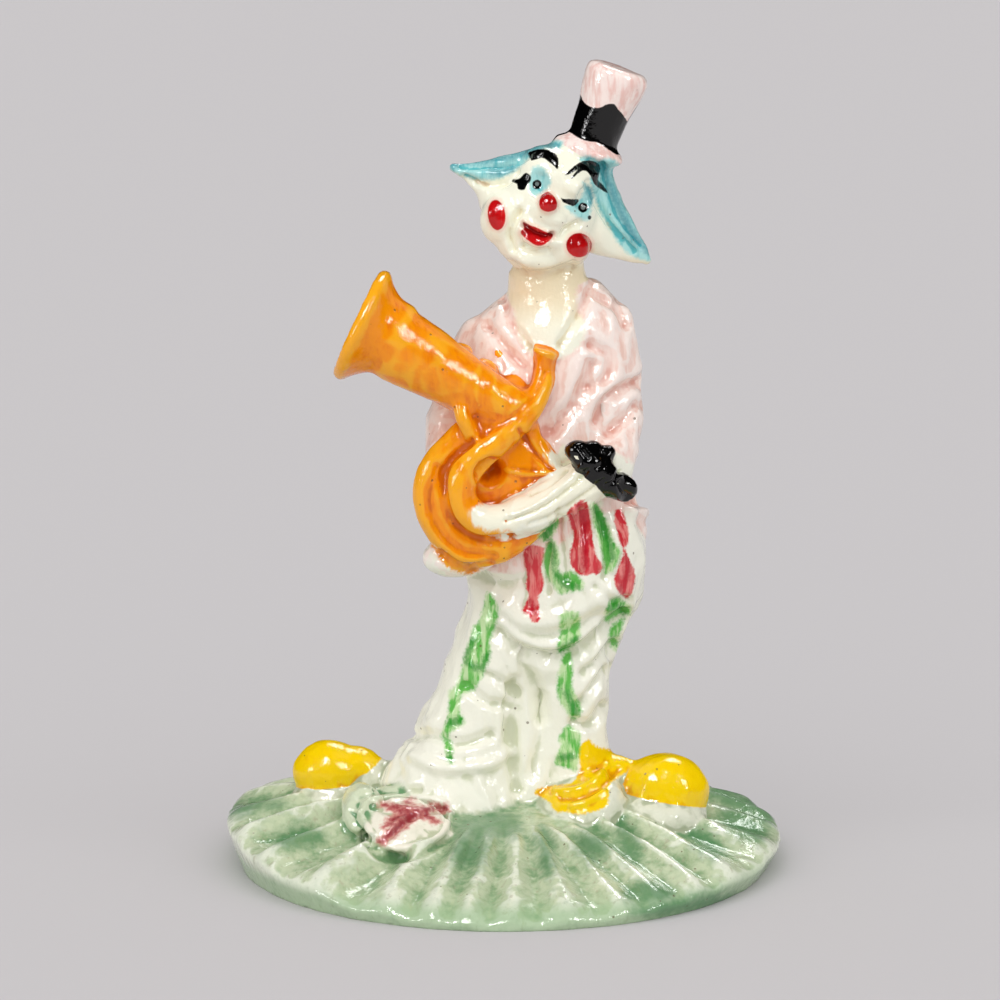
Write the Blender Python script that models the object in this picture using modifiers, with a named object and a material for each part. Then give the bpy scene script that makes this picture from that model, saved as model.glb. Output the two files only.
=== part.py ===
"""A glazed ceramic clown on a fluted round base, playing a big orange horn: one fired piece.

Run with blender --background --python part.py, or from Blender's text editor.
Metres, +Z up, the clown faces -Y, and the origin is under the middle of the base.
"""

import math

import bmesh
import bpy
import numpy as np
from mathutils import Matrix, Vector
from mathutils.bvhtree import BVHTree
from mathutils.kdtree import KDTree

# Driving dimensions, in metres.
FIGURE_HEIGHT = 0.164  # from the top of the mound to the top of the hat
BASE_RADIUS = 0.0629
RIM_HEIGHT = 0.0025  # in front and behind, before the edge droops
RIM_LIFT = 0.0068  # how much higher the rim is at the two sides
RIM_TILT = 0.3  # share by which that lift is greater on the high side
RIM_HIGH_SIDE = 170  # degrees round the base
RIM_DROOP = 0.0015
RIM_OVERHANG = 0.0035
MOUND_HEIGHT = 0.016  # where the trousers meet the mound, in front
CREST_HEIGHT = 0.0205  # the highest part of the mound, behind the legs
FLUTE_DEPTH = 0.0022
FLUTE_WIDTH = 12.0  # degrees of the base's round that one flute takes up
BELL_RADIUS = 0.0131  # outside of the horn's open mouth
BELL_DEPTH = 0.011
BELL_LIP = 0.0024
CLAY_GRAIN = 0.0009
FACETS = 9400

# The clown is drawn in units of a 164th of its height, and heights count from the mound's top.
UNIT = FIGURE_HEIGHT / 164

# Flutes that run down the front of the mound, in degrees of the compass round the base.
FRONT_FLUTES = (-165, -148, -131, -117, -105, -96, -86, -77, -68, -58, -46, -34, -18, -2)

# Rings of the upright forms: height, centre x and y, half width, half depth.
RIGHT_LEG = (
    (-9, -9.5, -4, 16.0, 15.0),
    (0, -11.1, -3, 16.8, 15.5),
    (7, -10.2, -2, 15.2, 13.6),
    (16, -7.4, -1, 12.2, 12.5),
    (25, -3.7, 0, 11.2, 12.0),
    (39, 0.4, 0, 10.3, 12.0),
    (47, 2.0, 0, 9.0, 11.0),
)
BETWEEN_LEGS = (
    (-9, 5.5, 0, 9.0, 13.0),
    (4, 5.5, 0, 9.0, 11.6),
    (20, 7.5, 0, 9.0, 10.6),
    (38, 9.0, 0, 10.0, 11.0),
)
LEFT_LEG = (
    (-9, 15.0, -2, 10.5, 11.5),
    (0, 15.2, -2, 9.4, 11.0),
    (7, 15.6, -1, 8.8, 11.0),
    (16, 14.6, 0, 8.6, 11.0),
    (25, 15.3, 0, 8.6, 11.5),
    (39, 17.7, 0, 9.2, 12.0),
    (47, 18.0, 0, 9.0, 12.0),
)
HIPS = (
    (24, 6.0, 0, 14.0, 10.0),
    (34, 7.6, 0, 18.0, 13.5),
    (44, 11.0, 0, 19.5, 14.5),
    (53, 11.6, 0, 20.0, 14.5),
    (64, 11.0, 0, 19.0, 13.5),
)
TORSO = (
    (52, 10.0, 0, 19.5, 14.0),
    (60, 10.0, 0, 22.0, 15.0),
    (67, 9.0, 0, 20.5, 15.0),
    (78, 8.0, 0, 20.0, 15.0),
    (87, 8.4, 0, 20.0, 14.5),
    (95, 9.0, 0, 20.6, 14.0),
    (103, 9.8, 1, 19.6, 12.6),
    (108.5, 11.2, 1, 16.2, 11.0),
    (112, 12.2, 1, 12.5, 9.8),
    (116, 12.4, 1, 8.0, 8.0),
)
NECK = (
    (98, 9.5, -5, 9.5, 7.5),
    (106, 10.4, -3, 10.6, 9.5),
    (112, 10.4, -1, 9.8, 9.0),
    (116, 9.6, -1, 8.7, 8.0),
    (124, 9.0, -1, 8.2, 7.5),
)

# Round lines: x, y, height and radius at each point.
RIGHT_ARM = (
    (-4.6, 2, 101.6, 6.6),
    (-9.0, 0, 89, 6.9),
    (-11.4, -4, 81, 6.3),
    (-12.6, -11, 71, 5),
    (-11.6, -14, 61, 5),
)
LEFT_ARM = ((22, 1, 105.3, 6.8), (24, 0, 95, 6.6), (24.4, -3, 83, 6.2), (23.4, -9, 77.5, 5.5))
HORN_BODY = (
    (-23, -18, 104.1, 8.3),
    (-19, -18, 101.8, 7.9),
    (-12.6, -18, 97.9, 6.9),
    (-4.2, -18, 93.0, 5.8),
    (2.3, -18, 90.0, 4.5),
)
OUTER_COIL = (
    (2.3, -17, 90.5, 4.2),
    (-5.3, -18.5, 86.9, 3.6),
    (-11.8, -19, 81.8, 3.3),
    (-16.0, -19.5, 75.8, 3.3),
    (-16.6, -19.5, 69.1, 3.3),
    (-13.8, -19.5, 63.0, 3.3),
    (-7.5, -19.5, 58.5, 3.4),
    (-0.9, -19.5, 59.5, 3.4),
    (4.6, -19, 62.4, 2.7),
    (9.6, -17, 66.2, 1.6),
)
COIL_FILLING = (
    (-5, -17.5, 84, 3.0),
    (-10.5, -19, 78.6, 3.0),
    (-12.8, -19.5, 72, 3.0),
    (-10.8, -19.5, 65.2, 3.0),
    (-4.4, -19.5, 61.8, 3.0),
    (4, -18.5, 63.8, 3.0),
)
MOUTH_PIPE = (
    (8.9, -14, 100.6, 2.3),
    (8.7, -14, 98.4, 2.0),
    (8.1, -16, 94.4, 2.5),
    (5.2, -18.5, 89.4, 2.9),
    (0.2, -21, 84.9, 3.2),
    (-5.8, -23, 80.3, 3.4),
    (-9.3, -23.5, 75.2, 3.4),
    (-9.3, -23.5, 70.1, 3.6),
    (-5.8, -23, 66.3, 3.8),
    (0.2, -22, 65.7, 4.1),
)
FOREARM = (
    (0.2, -22, 65.7, 4.1),
    (6.7, -21, 68, 4.6),
    (12.7, -19, 71.2, 5),
    (18.9, -16, 74.2, 5.5),
    (23, -10, 76, 5.6),
)
GLOVE = ((16.0, -20.5, 81.2, 2.6), (20.0, -20, 77.2, 3.4), (23.7, -18, 73.6, 3.2), (26.5, -15.5, 71.8, 3.1))
VALVES = ((-9.2, 102.7), (-3.8, 98.9), (2.6, 94.7))
BELL_NECK = 8.4
BELL_RIM = (-30.6, -17, 108.4)
BELL_AIM = (-0.905, 0.1, 0.415)
SPUR = ((-10.2, -22, 93.0, 1.3), (-8.8, -23.5, 88.6, 1.9), (-7.2, -23, 85.0, 1.5))
WEB = ((5.5, -16.5, 86.4, 2.0), (7.4, -16, 80.5, 2.8), (9.0, -16, 77, 3.2))
BACKING = ((-3, -12, 94, 5.2), (-3, -12.5, 84, 6.2), (-1, -13, 74, 6.2), (1.5, -14.2, 62.4, 3.6))
RIGHT_WING = (
    (12.5, -2, 143.2, 4.0),
    (4, -3, 141.0, 4.2),
    (-4, -3, 140.2, 3.4),
    (-9.2, -3, 141, 1.9),
    (-11.4, -3, 141.6, 1.1),
)
RIGHT_WING_LOW = ((4, -3, 134, 5), (-0.4, -3, 134.5, 5.2), (-3.2, -3, 137, 4.0), (-6.5, -3, 139, 2.2))
LEFT_WING = (
    (19.6, -1, 142.3, 4.0),
    (22.0, -1, 134.5, 3.7),
    (25.8, -1, 127.6, 3.5),
    (30.0, -1, 122.4, 2.0),
    (31.8, -1, 120.6, 1.2),
)
LEFT_WING_LOW = ((17, -2, 132, 5), (20.5, -1.5, 126.5, 4.6), (25, -1, 123, 2.4), (28.5, -1, 121.5, 1.6))

# The head and its features: place, half sizes. Places run along the tilted head's own axes.
HEAD_TILT = 20
HEAD_CENTRE = (9, -3, 132)
HEAD_FORMS = (
    ("skull", (0, 0, 0.5), (12.0, 11, 13.6)),
    ("chin", (0.4, -4.5, -9.6), (7.0, 6, 4.4)),
    ("jaw", (-3.9, -4.5, -7.8), (5.0, 5, 4.6)),
    ("chin_knob", (-0.4, -8.6, -10.2), (3.0, 2.4, 2.2)),
    ("muzzle", (0.2, -7.6, -3.6), (7.0, 4.6, 4.6)),
    ("nose_wings", (0.7, -10.6, 0.4), (4.2, 2.6, 2.4)),
    ("nose", (-0.5, -12.6, 2.9), (2.3, 2.4, 2.5)),
    ("forehead", (0, -2.5, 8), (9.5, 8, 7)),
    ("right_cheek", (-9.8, -6.6, -3.8), (3.2, 3.0, 3.8)),
    ("left_cheek", (8.2, -7.4, -4.6), (3.5, 3.4, 3.5)),
    ("right_jowl", (-7.6, -5, -4.0), (5.8, 5, 6.4)),
    ("left_jowl", (6.6, -5, -5), (5.6, 5, 5.2)),
    ("left_lid", (3.6, -9.2, 8.0), (3.0, 2.2, 2.2)),
)
HAT_TILT = 20
HAT_SEAT = (18.7, -2, 145.2)

# Marks of the modeller's tool: width, depth (raised where positive) and a line of x and height.
FRONT_MARKS = {
    "smile_right": (1.7, -1.1, ((3.3, 132.9), (1.9, 130.3), (1.2, 127.6), (2.0, 124.4))),
    "smile_left": (1.7, -1.1, ((10.4, 127.7), (12.4, 127.5), (14.0, 129.0), (16.4, 130.2))),
    "mouth": (1.5, -1.2, ((4.0, 130.0), (6.4, 127.8), (8.9, 127.2), (10.5, 127.8))),
    "upper_lip": (1.2, 0.6, ((4.5, 131.2), (6.8, 129.4), (9.4, 128.8))),
    "lower_lip": (1.3, 0.9, ((4.8, 127.0), (6.8, 125.8), (9.2, 125.9))),
    "right_eye": (3.2, -1.5, ((7.8, 140.2), (7.6, 138.4))),
    "left_eye": (2.8, -1.4, ((18.0, 137.0), (17.0, 134.4))),
    "right_brow": (2.2, 0.6, ((5.0, 144.5), (8.8, 146.0), (11.3, 143.4))),
    "left_brow": (2.2, 0.6, ((14.1, 141.4), (17.4, 143.0), (20.6, 140.5))),
    "neck_fold": (2.0, -1.0, ((1.2, 119.8), (5.4, 118.4), (10.3, 118.7), (15.2, 120.5))),
    "right_lock": (1.6, -1.1, ((-9.6, 141.9), (-4.7, 142.1), (0.1, 142.2), (4.7, 144.4))),
    "right_lock_low": (1.6, -1.0, ((-8.6, 139.6), (-4.8, 138.2), (0, 138.6), (2.6, 141.2))),
    "left_lock": (1.6, -1.1, ((21.6, 142.0), (23.0, 136.2), (25.3, 130.3), (30.2, 124.4))),
    "left_lock_low": (1.6, -1.0, ((18.6, 139.0), (21.1, 133.1), (24.2, 128.0), (28.8, 123.2))),
    "lapel_crease": (2.2, -1.1, ((-3.8, 106.8), (0.5, 102.0), (4.1, 98.6))),
    "lapel_welt": (2.2, 0.9, ((-7.6, 104.4), (-4.3, 103.0), (-1.9, 99.1))),
    "right_lapel": (2.0, -0.8, ((-0.5, 112.0), (1.0, 108.3), (5.3, 103.0))),
    "left_lapel": (2.2, -1.0, ((19.6, 115.4), (17.1, 110.8), (12.4, 103.5))),
    "collar": (2.4, 1.2, ((16.2, 117.6), (18.4, 116.8), (20.6, 115.0))),
    "shoulder_fold": (2.2, -1.0, ((20.9, 113.0), (25.2, 110.2), (27.2, 106.5))),
    "armhole": (2.4, -1.1, ((19.1, 103.0), (22.9, 100.6), (22.9, 96.2), (19.6, 93.3))),
    "arm_valley": (3.2, -2.1, ((20.0, 98.5), (18.2, 94.3), (15.4, 89.5), (10.5, 84.6))),
    "elbow_fold": (2.6, -1.8, ((30.6, 94.8), (27.2, 92.8), (22.9, 90.4), (20.8, 85.6))),
    "elbow_fold_low": (2.4, -1.2, ((29.6, 88.5), (26.3, 85.6), (23.0, 83.6))),
    "hem_fold": (2.4, -1.5, ((26.4, 73.4), (27.8, 69.5), (30.6, 67.0))),
    "hem_bump": (3.2, 1.9, ((28.4, 65.2), (31.0, 64.7))),
    "bag_edge": (3.0, -2.1, ((-1.5, 38.4), (3.8, 34.3), (10.6, 32.6), (16.9, 34.2), (21.7, 38.2), (27, 41))),
    "bag_ridge": (3.6, 1.4, ((0.9, 45.0), (4.3, 42.3), (10.6, 42.4), (17.8, 45.6), (23.1, 48.8))),
    "bag_roll": (2.6, 0.9, ((-0.5, 41.0), (3.8, 37.6), (10.6, 36.4), (16.8, 38.4), (20.2, 41.0))),
    "waist_fold": (2.6, -1.1, ((-7.3, 50.4), (-1.5, 49.2), (3.8, 50.6))),
    "crotch": (3.0, -2.1, ((3.1, 33.6), (5.3, 29.0), (7.2, 24.1), (8.0, 18.1))),
    "inner_right": (3.0, -1.2, ((2.4, 26.6), (1.2, 19.1), (1.9, 9.2), (3.1, 2.7))),
    "inner_left": (3.2, -1.9, ((7.7, 22.1), (8.0, 14.2), (6.4, 6.0))),
    "right_knee": (2.6, -1.1, ((-3.9, 29.0), (0.0, 26.6), (2.9, 24.1))),
    "right_shin": (2.6, -1.1, ((-8.7, 26.1), (-3.9, 22.6), (0.9, 21.1))),
    "right_hem_fold": (2.8, -1.2, ((-20.8, 13.2), (-16.5, 14.6), (-9.7, 13.4), (-2.9, 15.2))),
    "right_hem_welt": (2.8, 1.1, ((-19.9, 10.2), (-13.6, 8.6), (-3.9, 9.4), (0.9, 11.2))),
    "left_knee": (2.6, -1.4, ((24.6, 34.5), (21.2, 31.0), (17.8, 29.0))),
    "left_shin": (2.6, -1.4, ((23.6, 28.6), (20.3, 25.1), (17.4, 22.1))),
    "left_hem_fold": (2.6, -1.4, ((22.8, 19.6), (19.8, 16.6), (15.5, 17.6))),
    "coil_gap": (1.6, -1.0, ((-7, 84), (-12.4, 78.7), (-13.4, 73), (-11.4, 66), (-6.2, 61.8), (2, 62.3))),
    "coil_eye": (4.6, -4.2, ((-3.6, 75.4), (-2.6, 75.9))),
    "glove_wrist": (1.6, -1.1, ((17.6, 81.4), (19.0, 79.0))),
    "glove_fingers": (1.6, -1.1, ((22.0, 75.8), (26.4, 71.4))),
    "hand_fingers": (2.0, -1.0, ((-14.5, 57.6), (-9.5, 54.6), (-3.0, 54.0))),
}
BACK_MARKS = {
    "coat_hem": (3.0, -1.8, ((-10.0, 62.5), (10.0, 61.0), (30.0, 62.5))),
    "coat_vent": (2.4, -1.5, ((10.0, 62.0), (9.6, 70.0), (9.2, 79.0))),
    "coat_seam": (2.4, -0.8, ((9.2, 84.0), (9.6, 97.0), (10.4, 108.0))),
    "seat_seam": (3.0, -1.6, ((10.4, 58.0), (9.6, 48.0), (7.4, 38.0))),
    "leg_gap": (4.0, -3.2, ((7.0, 34.0), (5.6, 20.0), (4.4, 5.0))),
    "seat_fold_right": (2.8, -1.2, ((-6.0, 42.0), (0.0, 38.0), (6.0, 37.0))),
    "seat_fold_left": (2.8, -1.2, ((26.0, 43.0), (18.0, 39.0), (10.0, 37.0))),
    "right_hem_back": (2.8, -1.2, ((-22.0, 12.0), (-12.0, 10.0), (-2.0, 12.0))),
    "left_hem_back": (2.8, -1.2, ((10.0, 12.0), (16.0, 10.0), (23.0, 13.0))),
    "hair_parting": (2.2, -1.2, ((14.0, 141.0), (11.0, 133.0), (8.0, 125.0))),
    "hair_lock_right": (2.2, -1.1, ((-6.0, 140.5), (2.0, 138.0), (6.0, 130.0))),
    "hair_lock_left": (2.2, -1.1, ((28.0, 124.5), (22.0, 131.0), (16.0, 134.0))),
    "nape": (2.4, -1.1, ((1.5, 119.5), (9.0, 117.5), (16.5, 120.0))),
}


def smooth_path(points, steps):
    """Points along a Catmull-Rom curve through rows of numbers, the radius among them."""
    rows = np.array(points, float)
    rows = np.vstack([2 * rows[0] - rows[1], rows, 2 * rows[-1] - rows[-2]])
    path = []
    for a, b, c, d in zip(rows, rows[1:], rows[2:], rows[3:]):
        for t in np.arange(steps) / steps:
            bend = (2 * a - 5 * b + 4 * c - d) * t**2 + (3 * b - a - 3 * c + d) * t**3
            path.append(0.5 * (2 * b + (c - a) * t + bend))
    path.append(rows[-2])
    return np.array(path)


def place(x, y, height):
    """A place given in the clown's units, in metres."""
    return Vector((x * UNIT, y * UNIT, MOUND_HEIGHT + height * UNIT))


def add_object(mesh, name):
    """Puts a mesh in the scene."""
    obj = bpy.data.objects.new(name, mesh)
    clown_parts.objects.link(obj)
    return obj


def from_bmesh(bm, name):
    """Puts a worked-out shape in the scene."""
    mesh = bpy.data.meshes.new(name)
    bm.to_mesh(mesh)
    bm.free()
    return add_object(mesh, name)


def applied(obj):
    """Replaces an object by the plain mesh of its curve and modifiers."""
    bpy.context.view_layer.update()
    graph = bpy.context.evaluated_depsgraph_get()
    mesh = bpy.data.meshes.new_from_object(obj.evaluated_get(graph))
    mesh.transform(obj.matrix_world)
    name = obj.name
    bpy.data.objects.remove(obj)
    bm = bmesh.new()
    bm.from_mesh(mesh)
    bmesh.ops.remove_doubles(bm, verts=bm.verts, dist=1e-6)
    return from_bmesh(bm, name)


def ball(name, centre, radii, roll=0.0, pitch=0.0):
    """A ball with three half sizes, pitched towards the viewer and rolled clockwise, in degrees."""
    bm = bmesh.new()
    bmesh.ops.create_uvsphere(bm, u_segments=28, v_segments=18, radius=UNIT)
    turn = Matrix.Rotation(math.radians(roll), 4, "Y") @ Matrix.Rotation(math.radians(pitch), 4, "X")
    bm.transform(Matrix.Translation(centre) @ turn @ Matrix.Diagonal((*radii, 1)))
    return from_bmesh(bm, name)


def tube(name, points):
    """A round line with a radius of its own at each point and a ball on each end."""
    path = smooth_path(points, 6)
    curve = bpy.data.curves.new(name, "CURVE")
    curve.dimensions = "3D"
    curve.bevel_depth = UNIT
    curve.bevel_resolution = 5
    curve.use_fill_caps = True
    line = curve.splines.new("POLY")
    line.points.add(len(path) - 1)
    for point, (x, y, height, radius) in zip(line.points, path):
        point.co = (*place(x, y, height), 1)
        point.radius = radius
    ends = [ball(name + "_end", place(*row[:3]), (row[3],) * 3) for row in (path[0], path[-1])]
    return [applied(add_object(curve, name)), *ends]


def stack(name, rings):
    """An upright form lofted through oval rings and closed at both ends."""
    around = 40
    bm = bmesh.new()
    loops = []
    for height, x, y, half_width, half_depth in smooth_path(rings, 4):
        turns = np.arange(around) * math.tau / around
        edge = zip(x + half_width * np.cos(turns), y + half_depth * np.sin(turns))
        loops.append([bm.verts.new(place(px, py, height)) for px, py in edge])
    bmesh.ops.contextual_create(bm, geom=loops[0])
    bmesh.ops.contextual_create(bm, geom=loops[-1])
    for low, high in zip(loops, loops[1:]):
        for k in range(around):
            bm.faces.new((low[k - 1], low[k], high[k], high[k - 1]))
    bmesh.ops.recalc_face_normals(bm, faces=bm.faces)
    return from_bmesh(bm, name)


def turned(name, profile, seat):
    """A form turned about its own axis from points of radius and height, then put in its seat."""
    mesh = bpy.data.meshes.new(name)
    edges = [(k, k + 1) for k in range(len(profile) - 1)]
    mesh.from_pydata([(radius, 0, height) for radius, height in profile], edges, [])
    obj = add_object(mesh, name)
    screw = obj.modifiers.new("turn", "SCREW")
    screw.steps = screw.render_steps = 64
    screw.use_merge_vertices = True
    screw.merge_threshold = 0.00002
    obj.matrix_world = seat
    return applied(obj)


def flute_crests():
    """Where the flutes run: the ones in front as drawn, and even ones round the back."""
    gap = 360 + FRONT_FLUTES[0] - FRONT_FLUTES[-1]
    count = round(gap / FLUTE_WIDTH) - 1
    back = [FRONT_FLUTES[-1] + gap * (k + 1) / (count + 1) for k in range(count)]
    return np.radians([*FRONT_FLUTES, *back])


def mound_height(x, y):
    """Height of the fluted ground at a place, in metres."""
    turn = math.atan2(y, x)
    share = min(1.0, math.hypot(x, y) / BASE_RADIUS)
    tilt = 1 + RIM_TILT * math.cos(turn - math.radians(RIM_HIGH_SIDE))
    rim = RIM_HEIGHT + RIM_LIFT * tilt * math.cos(turn) ** 2
    top = MOUND_HEIGHT + (CREST_HEIGHT - MOUND_HEIGHT) * (0.5 + 0.5 * math.sin(turn)) * min(1, share / 0.2)
    height = rim + (top - rim) * (1 - share**1.9) - RIM_DROOP * max(0.0, (share - 0.94) / 0.06) ** 2
    bend = 0.12 * (share - 0.6) * math.sin(7 * turn)
    away = np.abs((turn + bend - flute_crests() + math.pi) % math.tau - math.pi)
    crest = max(0.0, 1 - away.min() / math.radians(FLUTE_WIDTH / 2))
    reach = min(1.0, max(0.0, (share - 0.36) / 0.2)) * (1 - 0.8 * share**14)
    return height + FLUTE_DEPTH * (crest - 0.5) * reach


def on_mound(x, y, lift):
    """A place on the ground, lifted, from the clown's own x and y."""
    spot = place(x, y, 0)
    spot.z = mound_height(spot.x, spot.y) + lift * UNIT
    return spot


def mound():
    """The round base. It runs on below the table's height, where it is cut flat later."""
    rows = 44
    around = 300
    bm = bmesh.new()
    turns = np.arange(around) * math.tau / around
    loops = []
    for row in range(1, rows + 1):
        radius = BASE_RADIUS * math.sin(math.pi / 2 * row / rows)
        ring = [(radius * math.cos(t), radius * math.sin(t)) for t in turns]
        loops.append([bm.verts.new((x, y, mound_height(x, y))) for x, y in ring])
    feet = [BASE_RADIUS - RIM_OVERHANG * (0.25 + 0.75 * math.cos(t) ** 2) for t in turns]
    for level in (0, -4 * CLAY_GRAIN):
        foot = [(radius * math.cos(t), radius * math.sin(t), level) for t, radius in zip(turns, feet)]
        loops.append([bm.verts.new(spot) for spot in foot])
    bmesh.ops.contextual_create(bm, geom=loops[0])
    bmesh.ops.contextual_create(bm, geom=loops[-1])
    for inner, outer in zip(loops, loops[1:]):
        for k in range(around):
            bm.faces.new((inner[k - 1], outer[k - 1], outer[k], inner[k]))
    bmesh.ops.recalc_face_normals(bm, faces=bm.faces)
    return from_bmesh(bm, "mound")


def head():
    """Head with its nose, cheeks, muzzle and chin, tilted to the clown's left."""
    tilt = Matrix.Rotation(math.radians(HEAD_TILT), 4, "Y")
    centre = place(*HEAD_CENTRE)
    forms = [(name, centre + tilt @ (UNIT * Vector(spot)), radii) for name, spot, radii in HEAD_FORMS]
    return [ball(name, spot, radii, HEAD_TILT) for name, spot, radii in forms]


def hair():
    """Hair that sweeps out to a point at each side."""
    wings = tube("right_wing", RIGHT_WING) + tube("right_wing_low", RIGHT_WING_LOW)
    return wings + tube("left_wing", LEFT_WING) + tube("left_wing_low", LEFT_WING_LOW)


def hat():
    """Small top hat: a rolled brim and a crown that widens upwards."""
    crown = 19.4
    profile = (
        (0, crown),
        (5.6, crown),
        (6.6, crown - 0.5),
        (7.1, crown - 1.7),
        (6.9, crown - 5),
        (5.9, crown / 2),
        (5.5, 2.6),
        (6.6, 1.6),
        (7.8, 0.9),
        (8.3, 0.0),
        (7.6, -0.9),
        (5.0, -1.8),
        (0, -2.2),
    )
    seat = Matrix.Translation(place(*HAT_SEAT)) @ Matrix.Rotation(math.radians(HAT_TILT), 4, "Y")
    return [turned("hat", [(UNIT * radius, UNIT * height) for radius, height in profile], seat)]


def bell_seat():
    """Where the bell's rim lies, with its axis pointing out of the mouth."""
    aim = Vector(BELL_AIM).to_track_quat("Z", "Y").to_matrix()
    return Matrix.Translation(place(*BELL_RIM)) @ aim.to_4x4()


def bell():
    """The horn's bell, flaring out to a rolled lip, still without its bore."""
    neck = BELL_NECK * UNIT
    flare = BELL_RADIUS - neck
    profile = (
        (0, BELL_LIP / 2),
        (BELL_RADIUS - BELL_LIP, BELL_LIP * 0.7),
        (BELL_RADIUS - BELL_LIP * 0.5, BELL_LIP * 0.8),
        (BELL_RADIUS - BELL_LIP * 0.2, BELL_LIP * 0.6),
        (BELL_RADIUS, BELL_LIP * 0.1),
        (BELL_RADIUS - flare * 0.05, -flare * 0.1),
        (neck + flare * 0.7, -flare * 0.3),
        (neck + flare * 0.4, -flare * 0.58),
        (neck + flare * 0.08, -flare * 1.1),
        (neck, -flare * 1.9),
        (0, -flare * 1.9),
    )
    return turned("bell", profile, bell_seat())


def bell_bore():
    """The hollow in the bell, as a cutter."""
    mouth = BELL_RADIUS - BELL_LIP
    profile = (
        (0, BELL_LIP * 2),
        (mouth + BELL_LIP * 1.2, BELL_LIP * 2),
        (mouth, BELL_LIP * 0.5),
        (mouth * 0.72, BELL_LIP / 2 - BELL_DEPTH * 0.35),
        (mouth * 0.5, BELL_LIP / 2 - BELL_DEPTH * 0.7),
        (mouth * 0.28, BELL_LIP / 2 - BELL_DEPTH * 0.94),
        (0, BELL_LIP / 2 - BELL_DEPTH),
    )
    bore = turned("bell_bore", profile, bell_seat())
    clown_parts.objects.unlink(bore)
    cutters.objects.link(bore)
    bore.hide_render = True
    bore.display_type = "WIRE"
    return bore


def horn():
    """The horn, the player's knuckles, and the clay that joins the horn to the coat behind it."""
    pieces = [bell(), ball("mouthpiece", place(8.9, -14, 102.2), (3.1, 3.1, 0.9), roll=16)]
    pieces.append(ball("plate", place(-1, -15.5, 75), (12, 4, 11)))
    pieces += [ball("valve", place(x, -13.5, height), (2.6, 2.4, 1.5), roll=30) for x, height in VALVES]
    lines = (HORN_BODY, OUTER_COIL, COIL_FILLING, MOUTH_PIPE, SPUR, WEB, BACKING)
    return pieces + [piece for line in lines for piece in tube("pipe", line)]


def arms():
    """Both sleeves, the glove and the hand that holds the coil from below."""
    lines = (("right_arm", RIGHT_ARM), ("left_arm", LEFT_ARM), ("forearm", FOREARM), ("glove", GLOVE))
    pieces = [piece for name, line in lines for piece in tube(name, line)]
    pieces.append(ball("right_hand", place(-9.3, -13, 56.8), (8.8, 7, 4.8), roll=-8))
    pieces.append(ball("glove_thumb", place(15.0, -19.5, 81.2), (2.0, 2.2, 2.0)))
    pieces.append(ball("glove_knuckle", place(19.4, -18.5, 81.4), (2.1, 2.6, 2.0)))
    pieces.append(ball("glove_wrist", place(22.8, -17.5, 80.4), (1.9, 2.6, 1.9)))
    return pieces


def shoes():
    """Bulbous toes on pale soles, and the crumpled tongue of the left shoe."""
    return [
        ball("right_toe", on_mound(-39.8, 3, 4.6), (8.2, 7, 7.0)),
        ball("right_toe_heel", on_mound(-33.4, 3, 4.4), (6.0, 5, 4.4), roll=10),
        ball("right_sole", on_mound(-38.5, 2, -0.4), (9.8, 8, 4.6)),
        ball("right_vamp", on_mound(-30, 2.5, 1.4), (7.0, 5, 4.0), roll=-10),
        ball("left_toe", on_mound(36.3, -8, 5.4), (9.7, 8.6, 8.1), roll=8),
        ball("left_sole", on_mound(33.2, -9.5, -2.2), (12.2, 10.4, 5.8)),
        ball("left_vamp", on_mound(24, -4, 3.6), (10, 6, 5.4), roll=10),
        ball("left_tongue", on_mound(17, -14, 0.2), (10.5, 9.5, 5.6), roll=-22, pitch=25),
    ]


def flower():
    """A flat flower and its leaf on the front of the mound."""
    return [
        ball("petals", on_mound(-21.3, -27.5, 1.0), (9.6, 8.6, 3.4), roll=6, pitch=26),
        ball("leaf", on_mound(-31.5, -20, 1.2), (4.8, 9.5, 3.4), roll=-25, pitch=18),
        ball("leaf_tip", on_mound(-26, -12, 1.2), (6.5, 4.5, 3.2), roll=-15, pitch=18),
    ]


def pressed(pieces, bore):
    """All the pieces pressed together into one closed skin of clay, with the bell hollowed out."""
    bm = bmesh.new()
    for piece in pieces:
        bm.from_mesh(piece.data)
        bpy.data.objects.remove(piece)
    obj = from_bmesh(bm, "clown_figurine")
    for name in ("skin", "hollowed_skin"):
        skin = obj.modifiers.new(name, "REMESH")
        skin.mode = "VOXEL"
        skin.voxel_size = CLAY_GRAIN
        if name == "skin":
            obj.modifiers.new("hollow", "BOOLEAN").object = bore
    sponge = obj.modifiers.new("sponge", "SMOOTH")
    sponge.factor = 0.5
    sponge.iterations = 3
    return applied(obj)


def carve(obj, marks, facing):
    """Presses creases into the clay and raises welts on it, along lines drawn as seen from one side."""
    mesh = obj.data
    skin = BVHTree.FromPolygons([v.co for v in mesh.vertices], [p.vertices for p in mesh.polygons])
    near = KDTree(len(mesh.vertices))
    for vertex in mesh.vertices:
        near.insert(vertex.co, vertex.index)
    near.balance()
    push = np.zeros(len(mesh.vertices))
    for width, depth, line in marks.values():
        strength = {}
        for x, height in smooth_path(line, 12):
            start = place(x, 0, height) - facing * BASE_RADIUS
            hit = skin.ray_cast(start, facing)[0]
            if hit is None:
                continue
            for _, index, away in near.find_range(hit, width * UNIT):
                fall = 0.5 + 0.5 * math.cos(math.pi * away / (width * UNIT))
                strength[index] = max(strength.get(index, 0), fall)
        for index, fall in strength.items():
            push[index] += fall * depth * UNIT
    normals = [vertex.normal.copy() for vertex in mesh.vertices]
    for vertex, normal, amount in zip(mesh.vertices, normals, push):
        vertex.co += normal * amount


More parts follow.
